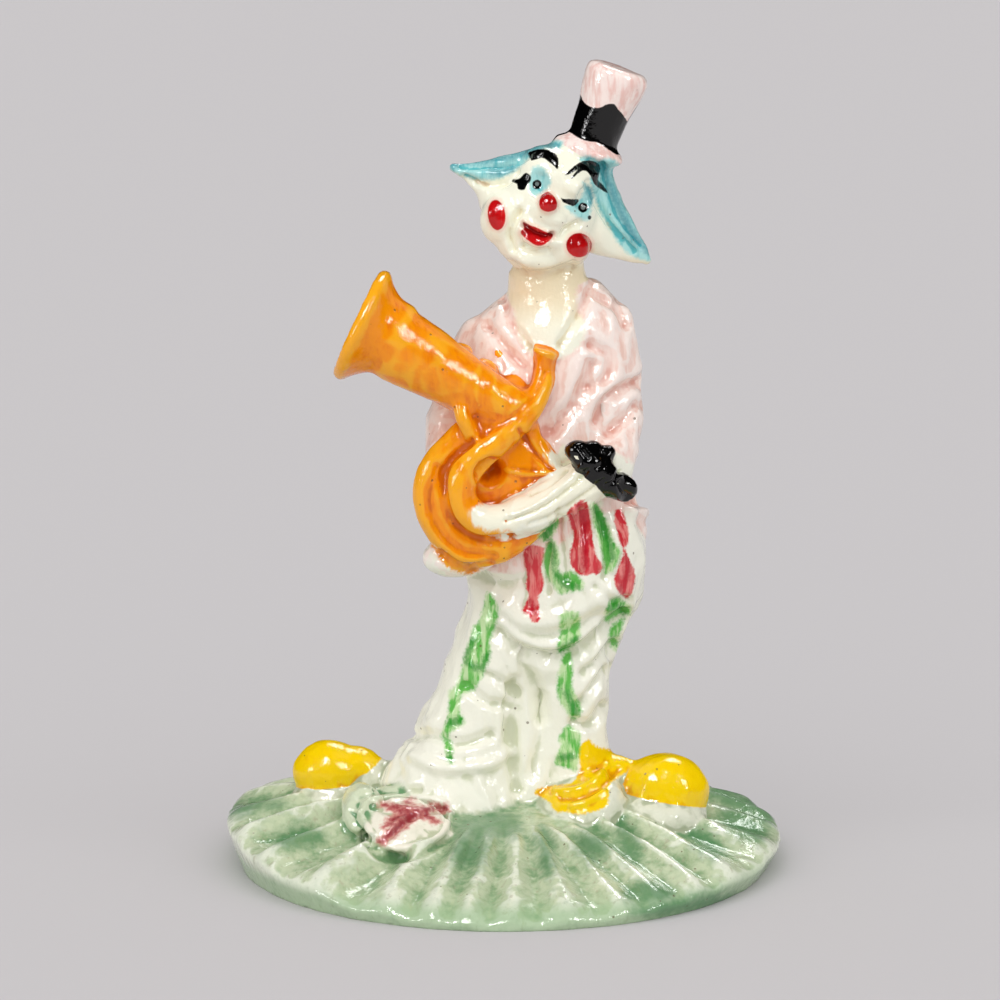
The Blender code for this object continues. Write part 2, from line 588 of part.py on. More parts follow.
def faceted(obj):
    """Fewer, larger facets where the form is plain."""
    triangles = sum(len(p.vertices) - 2 for p in obj.data.polygons)
    thin = obj.modifiers.new("facets", "DECIMATE")
    thin.ratio = FACETS / triangles
    return applied(obj)


def cut_flat(obj):
    """Cuts the underside off flat at the height of the table."""
    bm = bmesh.new()
    bm.from_mesh(obj.data)
    everything = [*bm.verts, *bm.edges, *bm.faces]
    table = {"plane_co": (0, 0, 0), "plane_no": (0, 0, -1)}
    cut = bmesh.ops.bisect_plane(bm, geom=everything, dist=1e-6, clear_outer=True, **table)
    rim = [part for part in cut["geom_cut"] if isinstance(part, bmesh.types.BMEdge)]
    bmesh.ops.edgeloop_fill(bm, edges=rim)
    bmesh.ops.recalc_face_normals(bm, faces=bm.faces)
    bm.to_mesh(obj.data)
    bm.free()


def glaze(obj):
    """Cream-white glossy glaze."""
    material = bpy.data.materials.new("cream_glaze")
    material.use_nodes = True
    shader = material.node_tree.nodes["Principled BSDF"]
    shader.inputs["Base Color"].default_value = (0.80, 0.79, 0.68, 1)
    shader.inputs["Roughness"].default_value = 0.15
    obj.data.materials.append(material)
    obj.data.shade_smooth()


for old in list(bpy.data.objects):
    bpy.data.objects.remove(old)
clown_parts = bpy.data.collections.new("clown")
cutters = bpy.data.collections.new("cutters")
for group in (clown_parts, cutters):
    bpy.context.scene.collection.children.link(group)

trousers = [stack("right_leg", RIGHT_LEG), stack("left_leg", LEFT_LEG), stack("between_legs", BETWEEN_LEGS)]
trousers.append(stack("hips", HIPS))
trousers.append(ball("seat", place(16.3, -3, 53.4), (15.6, 13, 19)))
upper_body = [stack("torso", TORSO), stack("neck", NECK), *arms()]
lower_forms = [mound(), *trousers, *shoes(), *flower()]
upper_forms = [*upper_body, *head(), *hair(), *hat(), *horn()]
figurine = pressed(lower_forms + upper_forms, bell_bore())
carve(figurine, FRONT_MARKS, Vector((0, 1, 0)))
carve(figurine, BACK_MARKS, Vector((0, -1, 0)))
figurine = faceted(figurine)
cut_flat(figurine)
glaze(figurine)
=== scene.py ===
import math

import bmesh
import bpy
import numpy as np
from mathutils import Matrix, Vector
from mathutils.bvhtree import BVHTree


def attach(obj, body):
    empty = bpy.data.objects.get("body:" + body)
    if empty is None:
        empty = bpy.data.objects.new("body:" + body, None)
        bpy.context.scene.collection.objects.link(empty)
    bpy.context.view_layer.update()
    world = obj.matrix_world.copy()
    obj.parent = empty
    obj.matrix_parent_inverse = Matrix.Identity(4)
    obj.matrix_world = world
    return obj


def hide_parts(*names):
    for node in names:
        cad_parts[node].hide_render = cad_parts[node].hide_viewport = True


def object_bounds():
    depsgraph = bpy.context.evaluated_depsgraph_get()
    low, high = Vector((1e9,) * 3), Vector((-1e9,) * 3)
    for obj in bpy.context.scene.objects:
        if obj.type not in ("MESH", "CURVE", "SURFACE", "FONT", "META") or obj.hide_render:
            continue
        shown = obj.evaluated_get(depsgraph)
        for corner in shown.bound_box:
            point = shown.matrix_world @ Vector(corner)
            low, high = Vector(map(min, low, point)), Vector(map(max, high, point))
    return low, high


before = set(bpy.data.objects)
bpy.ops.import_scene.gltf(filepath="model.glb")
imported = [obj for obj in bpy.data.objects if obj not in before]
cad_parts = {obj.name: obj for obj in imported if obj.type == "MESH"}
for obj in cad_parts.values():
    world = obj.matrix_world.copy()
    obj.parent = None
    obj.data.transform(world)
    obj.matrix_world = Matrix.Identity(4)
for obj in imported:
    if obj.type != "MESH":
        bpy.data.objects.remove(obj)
cad_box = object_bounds()

# The round base is a low mound of clay, pressed with flutes that run down its flank to the rim.
# It is the first form modelled; everything else is set on it, and all of it is fired as one piece.
# Forms are in units of a 164th of the clown's height, and heights count from the mound's top.
UNIT = 0.001
MOUND_HEIGHT = 0.016
BASE_RADIUS = 0.0629
ROWS = 150
AROUND = 720
FLUTES = (-165, -148, -131, -117, -105, -96, -86, -77, -68, -58, -46, -34, -18, -2)
FLUTES += (10, 22, 35, 47, 60, 72, 84, 97, 109, 121, 134, 146, 158, 171, 183)
FLUTE_WIDTH = 12
WELD = 1e-6  # how near two points are, in metres, to be one
DAB_POINTS = 24

clay = {}  # modelled forms, by the part of the clown they belong to
creases = []  # marks of the tool: side they are drawn from, width, depth and line
paint = {}  # shapes laid down with the brush, by colour


class Wire:
    """A value that runs through a node tree. Sums on it add Math nodes."""

    def __init__(self, tree, socket=None):
        self.tree = tree
        self.socket = socket

    def node(self, kind, settings=None, *values, out=0, **named):
        """Adds a node, sets it, feeds its sockets by order or by name, and gives one outlet."""
        node = self.tree.nodes.new(kind)
        for name, value in (settings or {}).items():
            setattr(node, name, value)
        for key, value in [*enumerate(values), *named.items()]:
            socket = node.inputs[key if isinstance(key, int) else key.replace("_", " ")]
            if isinstance(value, Wire):
                self.tree.links.new(value.socket, socket)
            elif value is not None:
                socket.default_value = value
        return Wire(self.tree, node.outputs[out])

    def sum(self, operation, *values):
        return self.node("ShaderNodeMath", {"operation": operation}, *values)

    def __add__(self, other):
        return self.sum("ADD", self, other)

    def __radd__(self, other):
        return self.sum("ADD", other, self)

    def __sub__(self, other):
        return self.sum("SUBTRACT", self, other)

    def __rsub__(self, other):
        return self.sum("SUBTRACT", other, self)

    def __mul__(self, other):
        return self.sum("MULTIPLY", self, other)

    def __rmul__(self, other):
        return self.sum("MULTIPLY", other, self)

    def __truediv__(self, other):
        return self.sum("DIVIDE", self, other)

    def __rtruediv__(self, other):
        return self.sum("DIVIDE", other, self)

    def __neg__(self):
        return 0 - self

    def __pow__(self, other):
        return self.sum("POWER", self, other)

    def least(self, other):
        return self.sum("MINIMUM", self, other)

    def most(self, other):
        return self.sum("MAXIMUM", self, other)

    def step(self, low, high, bottom=0.0, top=1.0):
        """Eases from bottom to top while the value goes from low to high."""
        settings = {"interpolation_type": "SMOOTHSTEP"}
        return self.node("ShaderNodeMapRange", settings, self, low, high, bottom, top)


def worktree(name, inputs):
    """A Geometry Nodes tree with a clay inlet and outlet and named inputs for its sizes."""
    tree = bpy.data.node_groups.new(name, "GeometryNodeTree")
    tree.interface.new_socket("Clay", in_out="INPUT", socket_type="NodeSocketGeometry")
    for label, value in inputs.items():
        kind = "NodeSocketObject" if value is None else "NodeSocketFloat"
        socket = tree.interface.new_socket(label, in_out="INPUT", socket_type=kind)
        if value is not None:
            socket.default_value = value
    tree.interface.new_socket("Clay", in_out="OUTPUT", socket_type="NodeSocketGeometry")
    inlet = tree.nodes.new("NodeGroupInput")
    return {socket.name: Wire(tree, socket) for socket in inlet.outputs if socket.name}


def finish_tree(made):
    """Ends a tree in Realize Instances and Set Material."""
    whole = made.node("GeometryNodeRealizeInstances", None, made)
    whole = whole.node("GeometryNodeSetMaterial", None, whole, Material=glaze)
    outlet = made.tree.nodes.new("NodeGroupOutput")
    made.tree.links.new(whole.socket, outlet.inputs[0])
    return made.tree


def put(mesh, name):
    """Puts a mesh in the scene."""
    obj = bpy.data.objects.new(name, mesh)
    bpy.context.scene.collection.objects.link(obj)
    return obj


def plain(obj):
    """Replaces an object by the plain closed mesh that its modifiers make."""
    bpy.context.view_layer.update()
    mesh = bpy.data.meshes.new_from_object(obj.evaluated_get(bpy.context.evaluated_depsgraph_get()))
    mesh.transform(obj.matrix_world)
    name = obj.name
    bpy.data.objects.remove(obj)
    bm = bmesh.new()
    bm.from_mesh(mesh)
    bmesh.ops.remove_doubles(bm, verts=bm.verts, dist=WELD)
    bmesh.ops.recalc_face_normals(bm, faces=bm.faces)
    bm.to_mesh(mesh)
    bm.free()
    return put(mesh, name)


def worked(obj, tree, values):
    """Runs a Geometry Nodes tree on an object and gives the plain result."""
    work = obj.modifiers.new(tree.name, "NODES")
    work.node_group = tree
    for item in tree.interface.items_tree:
        if item.in_out == "INPUT" and item.name in values:
            work[item.identifier] = values[item.name]
    return plain(obj)


def measured(obj):
    """An object's faces, ready to be measured against."""
    mesh = obj.data
    return BVHTree.FromPolygons([v.co for v in mesh.vertices], [p.vertices for p in mesh.polygons])


def place(x, y, height):
    """A place given in the clown's units, in metres."""
    return Vector((x * UNIT, y * UNIT, MOUND_HEIGHT + height * UNIT))


glaze = bpy.data.materials.new("painted_glaze")
base = worktree(
    "fluted mound",
    {
        "Guides": None,
        "Radius": BASE_RADIUS,
        "Rim height": 0.0025,
        "Rim lift": 0.0068,
        "Rim tilt": 0.3,
        "Rim droop": 0.0015,
        "Rim overhang": 0.0035,
        "High side": math.radians(170),
        "Top height": MOUND_HEIGHT,
        "Crest height": 0.0205,
        "Flute depth": 0.0034,
        "Finger marks": 0.0026,
        "Foot": 0.004,
    },
)
grid = base["Clay"].node("GeometryNodeMeshGrid", None, 1.0, 1.0, AROUND + 1, ROWS + 4)
spot = grid.node("GeometryNodeInputPosition")
turn = spot.node("ShaderNodeSeparateXYZ", None, spot, out="X") * math.tau
along = (spot.node("ShaderNodeSeparateXYZ", None, spot, out="Y") + 0.5) * ((ROWS + 3) / ROWS)
share = (along.least(1.0) * (math.pi / 2)).sum("SINE", along.least(1.0) * (math.pi / 2))
ahead, aside = turn.sum("COSINE", turn), turn.sum("SINE", turn)
tilt = 1 + base["Rim tilt"] * turn.sum("COSINE", turn - base["High side"])
rim = base["Rim height"] + base["Rim lift"] * tilt * ahead**2
rise = (0.5 + 0.5 * aside) * (share * 5).least(1.0)
top = base["Top height"] + (base["Crest height"] - base["Top height"]) * rise
height = rim + (top - rim) * (1 - share**1.9)
height = height - base["Rim droop"] * ((share - 0.94) / 0.06).most(0.0) ** 2
bend = 0.12 * (share - 0.6) * turn.sum("SINE", turn * 7)
degrees = (turn + bend) * math.degrees(1)
guide = turn.node("ShaderNodeCombineXYZ", None, degrees)
lines = base["Guides"].node("GeometryNodeObjectInfo", None, base["Guides"], out="Geometry")
near = {"target_element": "POINTS"}
away = lines.node("GeometryNodeProximity", near, lines, Sample_Position=guide, out="Distance")
crest = (1 - away * (2 / FLUTE_WIDTH)).most(0.0)
wander = turn.node("ShaderNodeCombineXYZ", None, ahead * 2.2, aside * 2.2, share * 1.5)
uneven = wander.node("ShaderNodeTexNoise", None, wander, Scale=1.0, Detail=1.0)
comb = turn.node("ShaderNodeCombineXYZ", None, ahead * 15, aside * 15, share * 1.6)
marks = comb.node("ShaderNodeTexNoise", None, comb, Scale=1.0, Detail=2.0) - 0.5
reach = share.step(0.36, 0.56) * (1 - 0.8 * share**14)
height = height + base["Flute depth"] * (0.1 + 1.8 * uneven) * (crest**0.9 - 0.5) * reach
height = height + base["Finger marks"] * marks * reach
below = along.sum("GREATER_THAN", along, 1 + 0.5 / ROWS)
sunk = along.sum("GREATER_THAN", along, 1 + 1.5 / ROWS)
under = along.sum("GREATER_THAN", along, 1 + 2.5 / ROWS)
overhang = base["Rim overhang"] * (0.25 + 0.75 * ahead**2) * below
radius = (base["Radius"] * share - overhang) * (1 - under)
level = height * (1 - below) - base["Foot"] * sunk
position = turn.node("ShaderNodeCombineXYZ", None, radius * ahead, radius * aside, level)
made = grid.node("GeometryNodeSetPosition", None, grid, Position=position)
made = made.node("GeometryNodeMergeByDistance", None, made, Distance=WELD)
mound_tree = finish_tree(made)

guide_mesh = bpy.data.meshes.new("flute_guides")
guide_mesh.from_pydata([(crest + lap, 0, 0) for crest in FLUTES for lap in (-360, 0, 360)], [], [])
guides = put(guide_mesh, "flute_guides")
mound = worked(put(bpy.data.meshes.new("mound"), "mound"), mound_tree, {"Guides": guides})
bpy.data.objects.remove(guides)
clay["mound"] = [mound]
ground = measured(mound)


def on_mound(x, y, lift):
    """A place on the ground, lifted, from the clown's own x and y."""
    spot = ground.ray_cast(place(x, y, 30), Vector((0, 0, -1)))[0]
    spot.z += lift * UNIT
    return spot


def brush(colour, *rows, side="front"):
    """A stroke of paint: rows of place and half width, drawn as seen from a side."""
    paint.setdefault(colour, []).append(("stroke", side, rows))


def patch(colour, *outline, side="front"):
    """A patch of paint inside a closed outline."""
    paint.setdefault(colour, []).append(("patch", side, outline))


def dab(colour, across, down, half_width, half_height, tilt=0):
    """An oval dab of paint, tilted clockwise."""
    turns = np.arange(DAB_POINTS) * math.tau / DAB_POINTS
    x, y = half_width * np.cos(turns), half_height * np.sin(turns)
    cos, sin = math.cos(math.radians(tilt)), math.sin(math.radians(tilt))
    patch(colour, *zip(across + x * cos - y * sin, down + x * sin + y * cos))


# Pools of green glaze in the hollows of the base; sheets are 1000 units wide and high.
dab("pool", 490, 826, 34, 17)
dab("pool", 470, 845, 20, 26, 20)
dab("pool", 388, 794, 24, 11)
dab("pool", 300, 838, 26, 12)
dab("pool", 250, 808, 34, 7, -8)
dab("pool", 758, 808, 34, 14, 18)
dab("pool", 726, 792, 22, 10)
dab("pool", 592, 846, 18, 16)
dab("pool", 650, 892, 26, 12)
dab("pool", 690, 905, 60, 9, -8)
dab("pool", 360, 815, 16, 18)
dab("pool", 744, 806, 40, 11, 26)
dab("pool", 704, 842, 24, 10, 35)
dab("pool", 628, 842, 12, 22, -15)
dab("pool", 545, 850, 9, 26, -8)
dab("pool", 744, 826, 26, 14, 30)

# The baggy trousers are two thick legs, the clay left between them, the hips and a full seat.
# They are white, with stripes brushed on in red at the waist and in green down the legs.
STACK_ROUND = 48
BALL_ROUND = 36
BALL_ROWS = 24
BEND_STEPS = 6


def add(group, obj):
    """Counts a form among a group's clay."""
    clay.setdefault(group, []).append(obj)


def settle(group, bm):
    """Makes a form of finished faces and counts it among a group's clay."""
    mesh = bpy.data.meshes.new(group)
    bm.to_mesh(mesh)
    bm.free()
    add(group, put(mesh, group))


def smooth_path(points, steps):
    """Points along a Catmull-Rom curve through rows of numbers."""
    rows = np.array(points, float)
    rows = np.vstack([2 * rows[0] - rows[1], rows, 2 * rows[-1] - rows[-2]])
    path = []
    for a, b, c, d in zip(rows, rows[1:], rows[2:], rows[3:]):
        for t in np.arange(steps) / steps:
            bow = (2 * a - 5 * b + 4 * c - d) * t**2 + (3 * b - a - 3 * c + d) * t**3
            path.append(0.5 * (2 * b + (c - a) * t + bow))
    path.append(rows[-2])
    return np.array(path)


def stack(group, *rings):
    """An upright form lofted through oval rings: height, centre and half sizes."""
    bm = bmesh.new()
    loops = []
    turns = np.arange(STACK_ROUND) * math.tau / STACK_ROUND
    for height, x, y, half_width, half_depth in smooth_path(rings, BEND_STEPS):
        edge = zip(x + half_width * np.cos(turns), y + half_depth * np.sin(turns))
        loops.append([bm.verts.new(place(px, py, height)) for px, py in edge])
    for loop in (loops[0], loops[-1]):
        bmesh.ops.contextual_create(bm, geom=loop)
    for low, high in zip(loops, loops[1:]):
        for k in range(STACK_ROUND):
            bm.faces.new((low[k - 1], low[k], high[k], high[k - 1]))
    bmesh.ops.recalc_face_normals(bm, faces=bm.faces)
    settle(group, bm)


def ball(group, centre, radii, roll=0.0, pitch=0.0):
    """A ball with three half sizes, pitched towards the viewer and rolled clockwise."""
    bm = bmesh.new()
    bmesh.ops.create_uvsphere(bm, u_segments=BALL_ROUND, v_segments=BALL_ROWS, radius=UNIT)
    lean = Matrix.Rotation(math.radians(roll), 4, "Y")
    lean = lean @ Matrix.Rotation(math.radians(pitch), 4, "X")
    bm.transform(Matrix.Translation(centre) @ lean @ Matrix.Diagonal((*radii, 1)))
    settle(group, bm)


def crease(width, depth, *line, side="front"):
    """A mark pressed in along a line, or raised where its depth is positive."""
    creases.append((side, width, depth, line))


stack(
    "trousers",
    (-9, -9.5, -4, 16.0, 15.0),
    (0, -11.1, -3, 16.8, 15.5),
    (7, -10.2, -2, 15.2, 13.6),
    (16, -7.4, -1, 12.2, 12.5),
    (25, -3.7, 0, 11.2, 12.0),
    (39, 0.4, 0, 10.3, 12.0),
    (47, 2.0, 0, 9.0, 11.0),
)
stack(
    "trousers",
    (-9, 5.5, 0, 9, 13),
    (4, 5.5, 0, 9, 11.6),
    (20, 7.5, 0, 9, 10.6),
    (38, 9, 0, 10, 11),
)
stack(
    "trousers",
    (-9, 15.0, -2, 10.5, 11.5),
    (0, 15.2, -2, 9.4, 11.0),
    (7, 15.6, -1, 8.8, 11.0),
    (16, 14.6, 0, 8.6, 11.0),
    (25, 15.3, 0, 8.6, 11.5),
    (39, 17.7, 0, 9.2, 12.0),
    (47, 18.0, 0, 9.0, 12.0),
)
stack(
    "trousers",
    (24, 6.0, 0, 14.0, 10.0),
    (34, 7.6, 0, 18.0, 13.5),
    (44, 11.0, 0, 19.5, 14.5),
    (53, 11.6, 0, 20.0, 14.5),
    (64, 11.0, 0, 19.0, 13.5),
)
ball("trousers", place(16.3, -3, 53.4), (15.6, 13, 19))

crease(13, -2.1, (497, 632), (521, 650), (552, 658), (580, 650), (601, 632), (625, 616))
crease(16, 1.6, (508, 607), (524, 620), (552, 620), (585, 606), (609, 591))
crease(10, 1.2, (502, 623), (521, 640), (552, 645), (580, 636), (595, 624))
crease(11, -1.3, (472, 574), (497, 584), (521, 580))
crease(14, -2.3, (518, 653), (528, 673), (536, 692), (540, 718))
crease(12, -1.4, (515, 683), (510, 716), (513, 759), (518, 788))
crease(14, -1.9, (539, 700), (540, 737), (533, 773))
crease(9, -1.3, (487, 674), (504, 684), (517, 693))
crease(9, -1.3, (465, 686), (487, 702), (508, 706))
crease(10, -1.5, (412, 735), (431, 735), (461, 744), (491, 735))
crease(11, 1.3, (415, 757), (443, 768), (487, 764), (508, 752))
crease(9, -1.6, (614, 644), (599, 663), (584, 673))
crease(9, -1.6, (609, 669), (595, 688), (582, 703))
crease(9, -1.6, (605, 706), (592, 724), (573, 723))
crease(13, -1.8, (449, 549), (452, 593), (463, 636), side="back")
crease(17, -3.2, (464, 652), (471, 710), (476, 776), side="back")
crease(12, -1.4, (523, 614), (496, 635), (469, 640), side="back")
crease(12, -1.4, (379, 610), (415, 631), (451, 641), side="back")
crease(12, -1.4, (593, 735), (549, 756), (505, 746), side="back")
crease(12, -1.4, (451, 746), (424, 755), (394, 734), side="back")

crease(6, -1.1, (560, 512), (563, 545), (567, 580))
crease(6, -1.1, (604, 520), (607, 552), (604, 578))
crease(6, -1.0, (549, 545), (546, 570), (549, 592))
crease(5, 0.9, (574, 508), (580, 540), (582, 568))
crease(5, 0.9, (590, 505), (597, 540), (600, 568))
crease(5, 0.8, (613, 530), (618, 548), (612, 570))
crease(5, -0.8, (524, 556), (526, 584), (524, 606))
crease(8, -1.0, (596, 588), (612, 600), (628, 600))

patch(
    "rose", (524, 547), (532, 545), (544, 548), (543, 560), (541, 567), (544, 584), (539, 595),
    (530, 595), (526, 588), (527, 575), (524, 558),
)
patch(
    "rose", (530, 595), (538, 596), (539, 610), (540, 621), (532, 622), (528, 614), (522, 612),
    (525, 604),
)
patch(
    "rose", (567, 512), (580, 501), (587, 502), (591, 523), (593, 541), (596, 554), (603, 567),
    (597, 575), (593, 573), (589, 575), (580, 575), (571, 565), (570, 552), (574, 536), (569, 519),
)
patch(
    "rose", (615, 512), (619, 509), (624, 515), (628, 530), (629, 541), (625, 549), (630, 560),
    (635, 573), (634, 588), (628, 598), (619, 593), (614, 580), (617, 571), (621, 560), (623, 549),
    (619, 541), (617, 530), (614, 521),
)
brush("rose deep", (579, 506, 3), (583, 522, 3), (584, 545, 3), (585, 566, 3))
brush("rose deep", (620, 590, 3), (628, 572, 4), (626, 556, 3))
brush("rose deep", (530, 600, 3), (535, 612, 3))
patch("leaf green", (556, 519), (559, 523), (554, 534), (547, 541), (541, 541), (539, 534))
patch(
    "leaf green", (550, 538), (556, 543), (560, 558), (558, 571), (565, 573), (573, 571),
    (584, 584), (580, 591), (569, 592), (560, 594), (552, 584), (545, 571), (544, 556),
)
patch(
    "leaf green", (591, 504), (597, 504), (606, 519), (615, 543), (621, 549), (619, 560),
    (612, 571), (605, 575), (604, 565), (602, 554), (597, 536), (592, 519),
)
patch(
    "leaf green", (617, 597), (623, 601), (630, 606), (630, 615), (621, 614), (612, 619),
    (605, 621), (606, 608), (610, 601),
)
patch("leaf green", (617, 621), (625, 619), (619, 636), (617, 651), (611, 647), (609, 632))
patch(
    "leaf green", (560, 614), (578, 612), (580, 627), (580, 640), (571, 647), (560, 653),
    (557, 649), (560, 632),
)
patch(
    "leaf green", (565, 653), (571, 653), (573, 675), (572, 686), (580, 705), (581, 714),
    (573, 720), (567, 712), (559, 701), (557, 684), (560, 666),
)
patch(
    "leaf green", (567, 725), (580, 734), (581, 740), (578, 762), (576, 771), (567, 768),
    (555, 764), (556, 755), (561, 747), (559, 738),
)
patch(
    "leaf green", (487, 592), (493, 597), (499, 610), (495, 627), (490, 640), (491, 653),
    (487, 666), (476, 688), (467, 692), (461, 697), (460, 714), (465, 718), (463, 725), (452, 731),
    (443, 738), (441, 734), (447, 718), (449, 703), (448, 692), (456, 686), (461, 671), (465, 651),
    (472, 634), (472, 627), (478, 623), (483, 608),
)
brush("leaf green", (446, 736, 3), (449, 750, 4), (450, 762, 3))
brush(
    "green deep", (553, 523, 4), (547, 534, 4), (553, 550, 3), (555, 570, 3), (566, 584, 5),
    (576, 586, 4),
)
brush("green deep", (596, 510, 3), (603, 528, 5), (610, 545, 4), (612, 560, 3))
brush("green deep", (609, 610, 4), (616, 604, 3), (623, 612, 3))
brush("green deep", (578, 638, 3), (566, 646, 3), (559, 651, 3))
brush("green deep", (563, 688, 4), (570, 700, 3), (575, 712, 5))
brush("green deep", (560, 758, 4), (572, 756, 4))
brush("green deep", (489, 655, 4), (480, 668, 4), (466, 660, 3), (473, 640, 3))
brush("green deep", (450, 722, 5), (459, 721, 5))
brush("green deep", (449, 752, 2), (450, 758, 3))

# The shoes are round toe caps on pale soles, half sunk in the mound, painted a strong yellow.
# The left shoe's crumpled tongue runs down over the front of the mound.
ball("toes", on_mound(-39.8, 3, 4.6), (8.2, 7, 7.0))
ball("toes", on_mound(-33.4, 3, 4.4), (6.0, 5, 4.4), roll=10)
ball("soles", on_mound(-38.5, 2, -0.4), (9.8, 8, 4.6))
ball("soles", on_mound(-30, 2.5, 1.4), (7.0, 5, 4.0), roll=-10)
ball("toes", on_mound(36.3, -8, 5.4), (9.7, 8.6, 8.1), roll=8)
ball("soles", on_mound(33.2, -9.5, -2.2), (12.2, 10.4, 5.8))
ball("soles", on_mound(24, -4, 3.6), (10, 6, 5.4), roll=10)
ball("soles", on_mound(17, -14, 0.2), (10.5, 9.5, 5.6), roll=-22, pitch=25)
patch(
    "yellow", (589, 739), (595, 747), (617, 749), (636, 755), (640, 762), (628, 771), (619, 777),
    (610, 784), (609, 797), (606, 807), (591, 812), (578, 815), (567, 812), (556, 812), (550, 803),
    (541, 797), (534, 792), (547, 786), (569, 784), (578, 775), (580, 764), (578, 749),
)
crease(6, -0.9, (560, 798), (580, 796), (600, 786), (618, 770))
crease(6, 0.9, (556, 792), (578, 790), (596, 780), (606, 766))
crease(5, 0.7, (572, 806), (588, 802), (604, 792))

# The flower is a flat square of petals laid on the mound, with a folded leaf behind it.
# Its heart is dabbed on in crimson.
ball("petals", on_mound(-21.3, -27.5, 1.0), (9.6, 8.6, 3.4), roll=6, pitch=26)
ball("leaf", on_mound(-31.5, -20, 1.2), (4.8, 9.5, 3.4), roll=-25, pitch=18)
ball("leaf", on_mound(-26, -12, 1.2), (6.5, 4.5, 3.2), roll=-15, pitch=18)
brush("crimson", (379, 804, 2), (396, 808, 4), (415, 812, 6), (432, 808, 4), (445, 808, 4))
brush("crimson", (418, 812, 6), (404, 822, 6), (392, 832, 5), (381, 842, 3))
brush("crimson", (415, 812, 5), (430, 818, 4), (439, 822, 2))
brush("crimson", (410, 812, 5), (406, 804, 3), (412, 800, 2))
brush("crimson", (408, 814, 5), (392, 820, 4), (384, 826, 3))
crease(5, 0.8, (361, 814), (369, 802), (386, 798), (412, 798), (440, 801), (451, 814))
crease(5, 0.7, (451, 814), (440, 836), (414, 846), (388, 848), (372, 834), (361, 814))
crease(7, -1.0, (352, 812), (362, 794), (386, 789), (420, 790))
crease(7, -1.0, (364, 838), (384, 857), (420, 854), (447, 838))
crease(6, -0.8, (372, 806), (390, 812), (414, 815), (444, 808))
crease(6, -0.8, (414, 815), (398, 830), (380, 844))
crease(4, 0.6, (384, 842), (396, 824), (404, 816), (422, 812), (436, 806))
crease(6, -1.0, (350, 812), (358, 828), (372, 842), (398, 856))

# The coat is one soft form with both sleeves; its lapels, welts and folds are cut with a tool.
# It is washed in a streaky pink that gathers in the folds, where it is darkened further as painted
# shade.
ROLL_ROUND = 28
KNOB_ROWS = 18


def rolled_clay():
    """The tree that rolls a line of clay: a round section with its own radius at each point."""
    roll = worktree("rolled clay", {"Finger": 1.0})
    line = roll["Clay"].node("GeometryNodeMeshToCurve", None, roll["Clay"])
    thickness = line.node("GeometryNodeInputNamedAttribute", None, "thickness", out="Attribute")
    section = line.node("GeometryNodeCurvePrimitiveCircle", None, ROLL_ROUND, Radius=roll["Finger"])
    tube = line.node("GeometryNodeCurveToMesh", None, line, section, thickness, True)
    ends = line.node("GeometryNodeCurveEndpointSelection")
    knob = line.node("GeometryNodeMeshUVSphere", None, ROLL_ROUND, KNOB_ROWS, roll["Finger"])
    knobs = line.node("GeometryNodeInstanceOnPoints", None, line, ends, knob, Scale=thickness)
    both = line.node("GeometryNodeJoinGeometry", None, tube)
    line.tree.links.new(knobs.socket, both.socket.node.inputs[0])
    return finish_tree(both)


roll_tree = rolled_clay()


def strung(name, points):
    """A mesh of points joined in a row."""
    mesh = bpy.data.meshes.new(name)
    mesh.from_pydata(points, [(k, k + 1) for k in range(len(points) - 1)], [])
    return mesh


def roll(group, *rows):
    """A line of clay rolled between the fingers: places and radii."""
    path = smooth_path(rows, BEND_STEPS)
    mesh = strung(group, [place(*row[:3]) for row in path])
    thickness = mesh.attributes.new("thickness", "FLOAT", "POINT")
    thickness.data.foreach_set("value", path[:, 3] * UNIT)
    add(group, worked(put(mesh, group), roll_tree, {"Finger": 1.0}))


stack(
    "coat",
    (52, 10.0, 0, 19.5, 14.0),
    (60, 10.0, 0, 22.0, 15.0),
    (67, 9.0, 0, 20.5, 15.0),
    (78, 8.0, 0, 20.0, 15.0),
    (87, 8.4, 0, 20.0, 14.5),
    (95, 9.0, 0, 20.6, 14.0),
    (103, 9.8, 1, 19.6, 12.6),
    (108.5, 11.2, 1, 16.2, 11.0),
    (112, 12.2, 1, 12.5, 9.8),
    (116, 12.4, 1, 8.0, 8.0),
)
roll(
    "coat", (-4.6, 2, 101.6, 6.6), (-9.0, 0, 89, 6.9), (-11.4, -4, 81, 6.3), (-12.6, -11, 71, 5),
    (-11.6, -14, 61, 5),
)
roll("coat", (22, 1, 105.3, 6.8), (24, 0, 95, 6.6), (24.4, -3, 83, 6.2), (23.4, -9, 77.5, 5.5))
crease(9, -1.3, (487, 325), (507, 349), (523, 366))
crease(8, -0.9, (502, 298), (509, 319), (528, 346))
crease(9, -1.2, (593, 285), (582, 309), (561, 344))
crease(9, -1.2, (599, 296), (618, 308), (627, 324))
crease(10, -1.3, (591, 345), (608, 355), (608, 375), (593, 389))
crease(14, -2.2, (595, 365), (587, 384), (574, 407), (552, 430))
crease(11, -1.9, (643, 381), (627, 387), (608, 401), (598, 423))
crease(10, -1.4, (637, 406), (623, 421), (608, 432))
crease(10, -1.6, (624, 484), (630, 500), (642, 504))
crease(13, 1.9, (632, 512), (643, 511))
crease(13, -1.9, (541, 521), (451, 535), (361, 520), side="back")
crease(10, -1.6, (451, 530), (452, 496), (454, 455), side="back")
crease(10, -1.0, (454, 433), (452, 374), (448, 324), side="back")

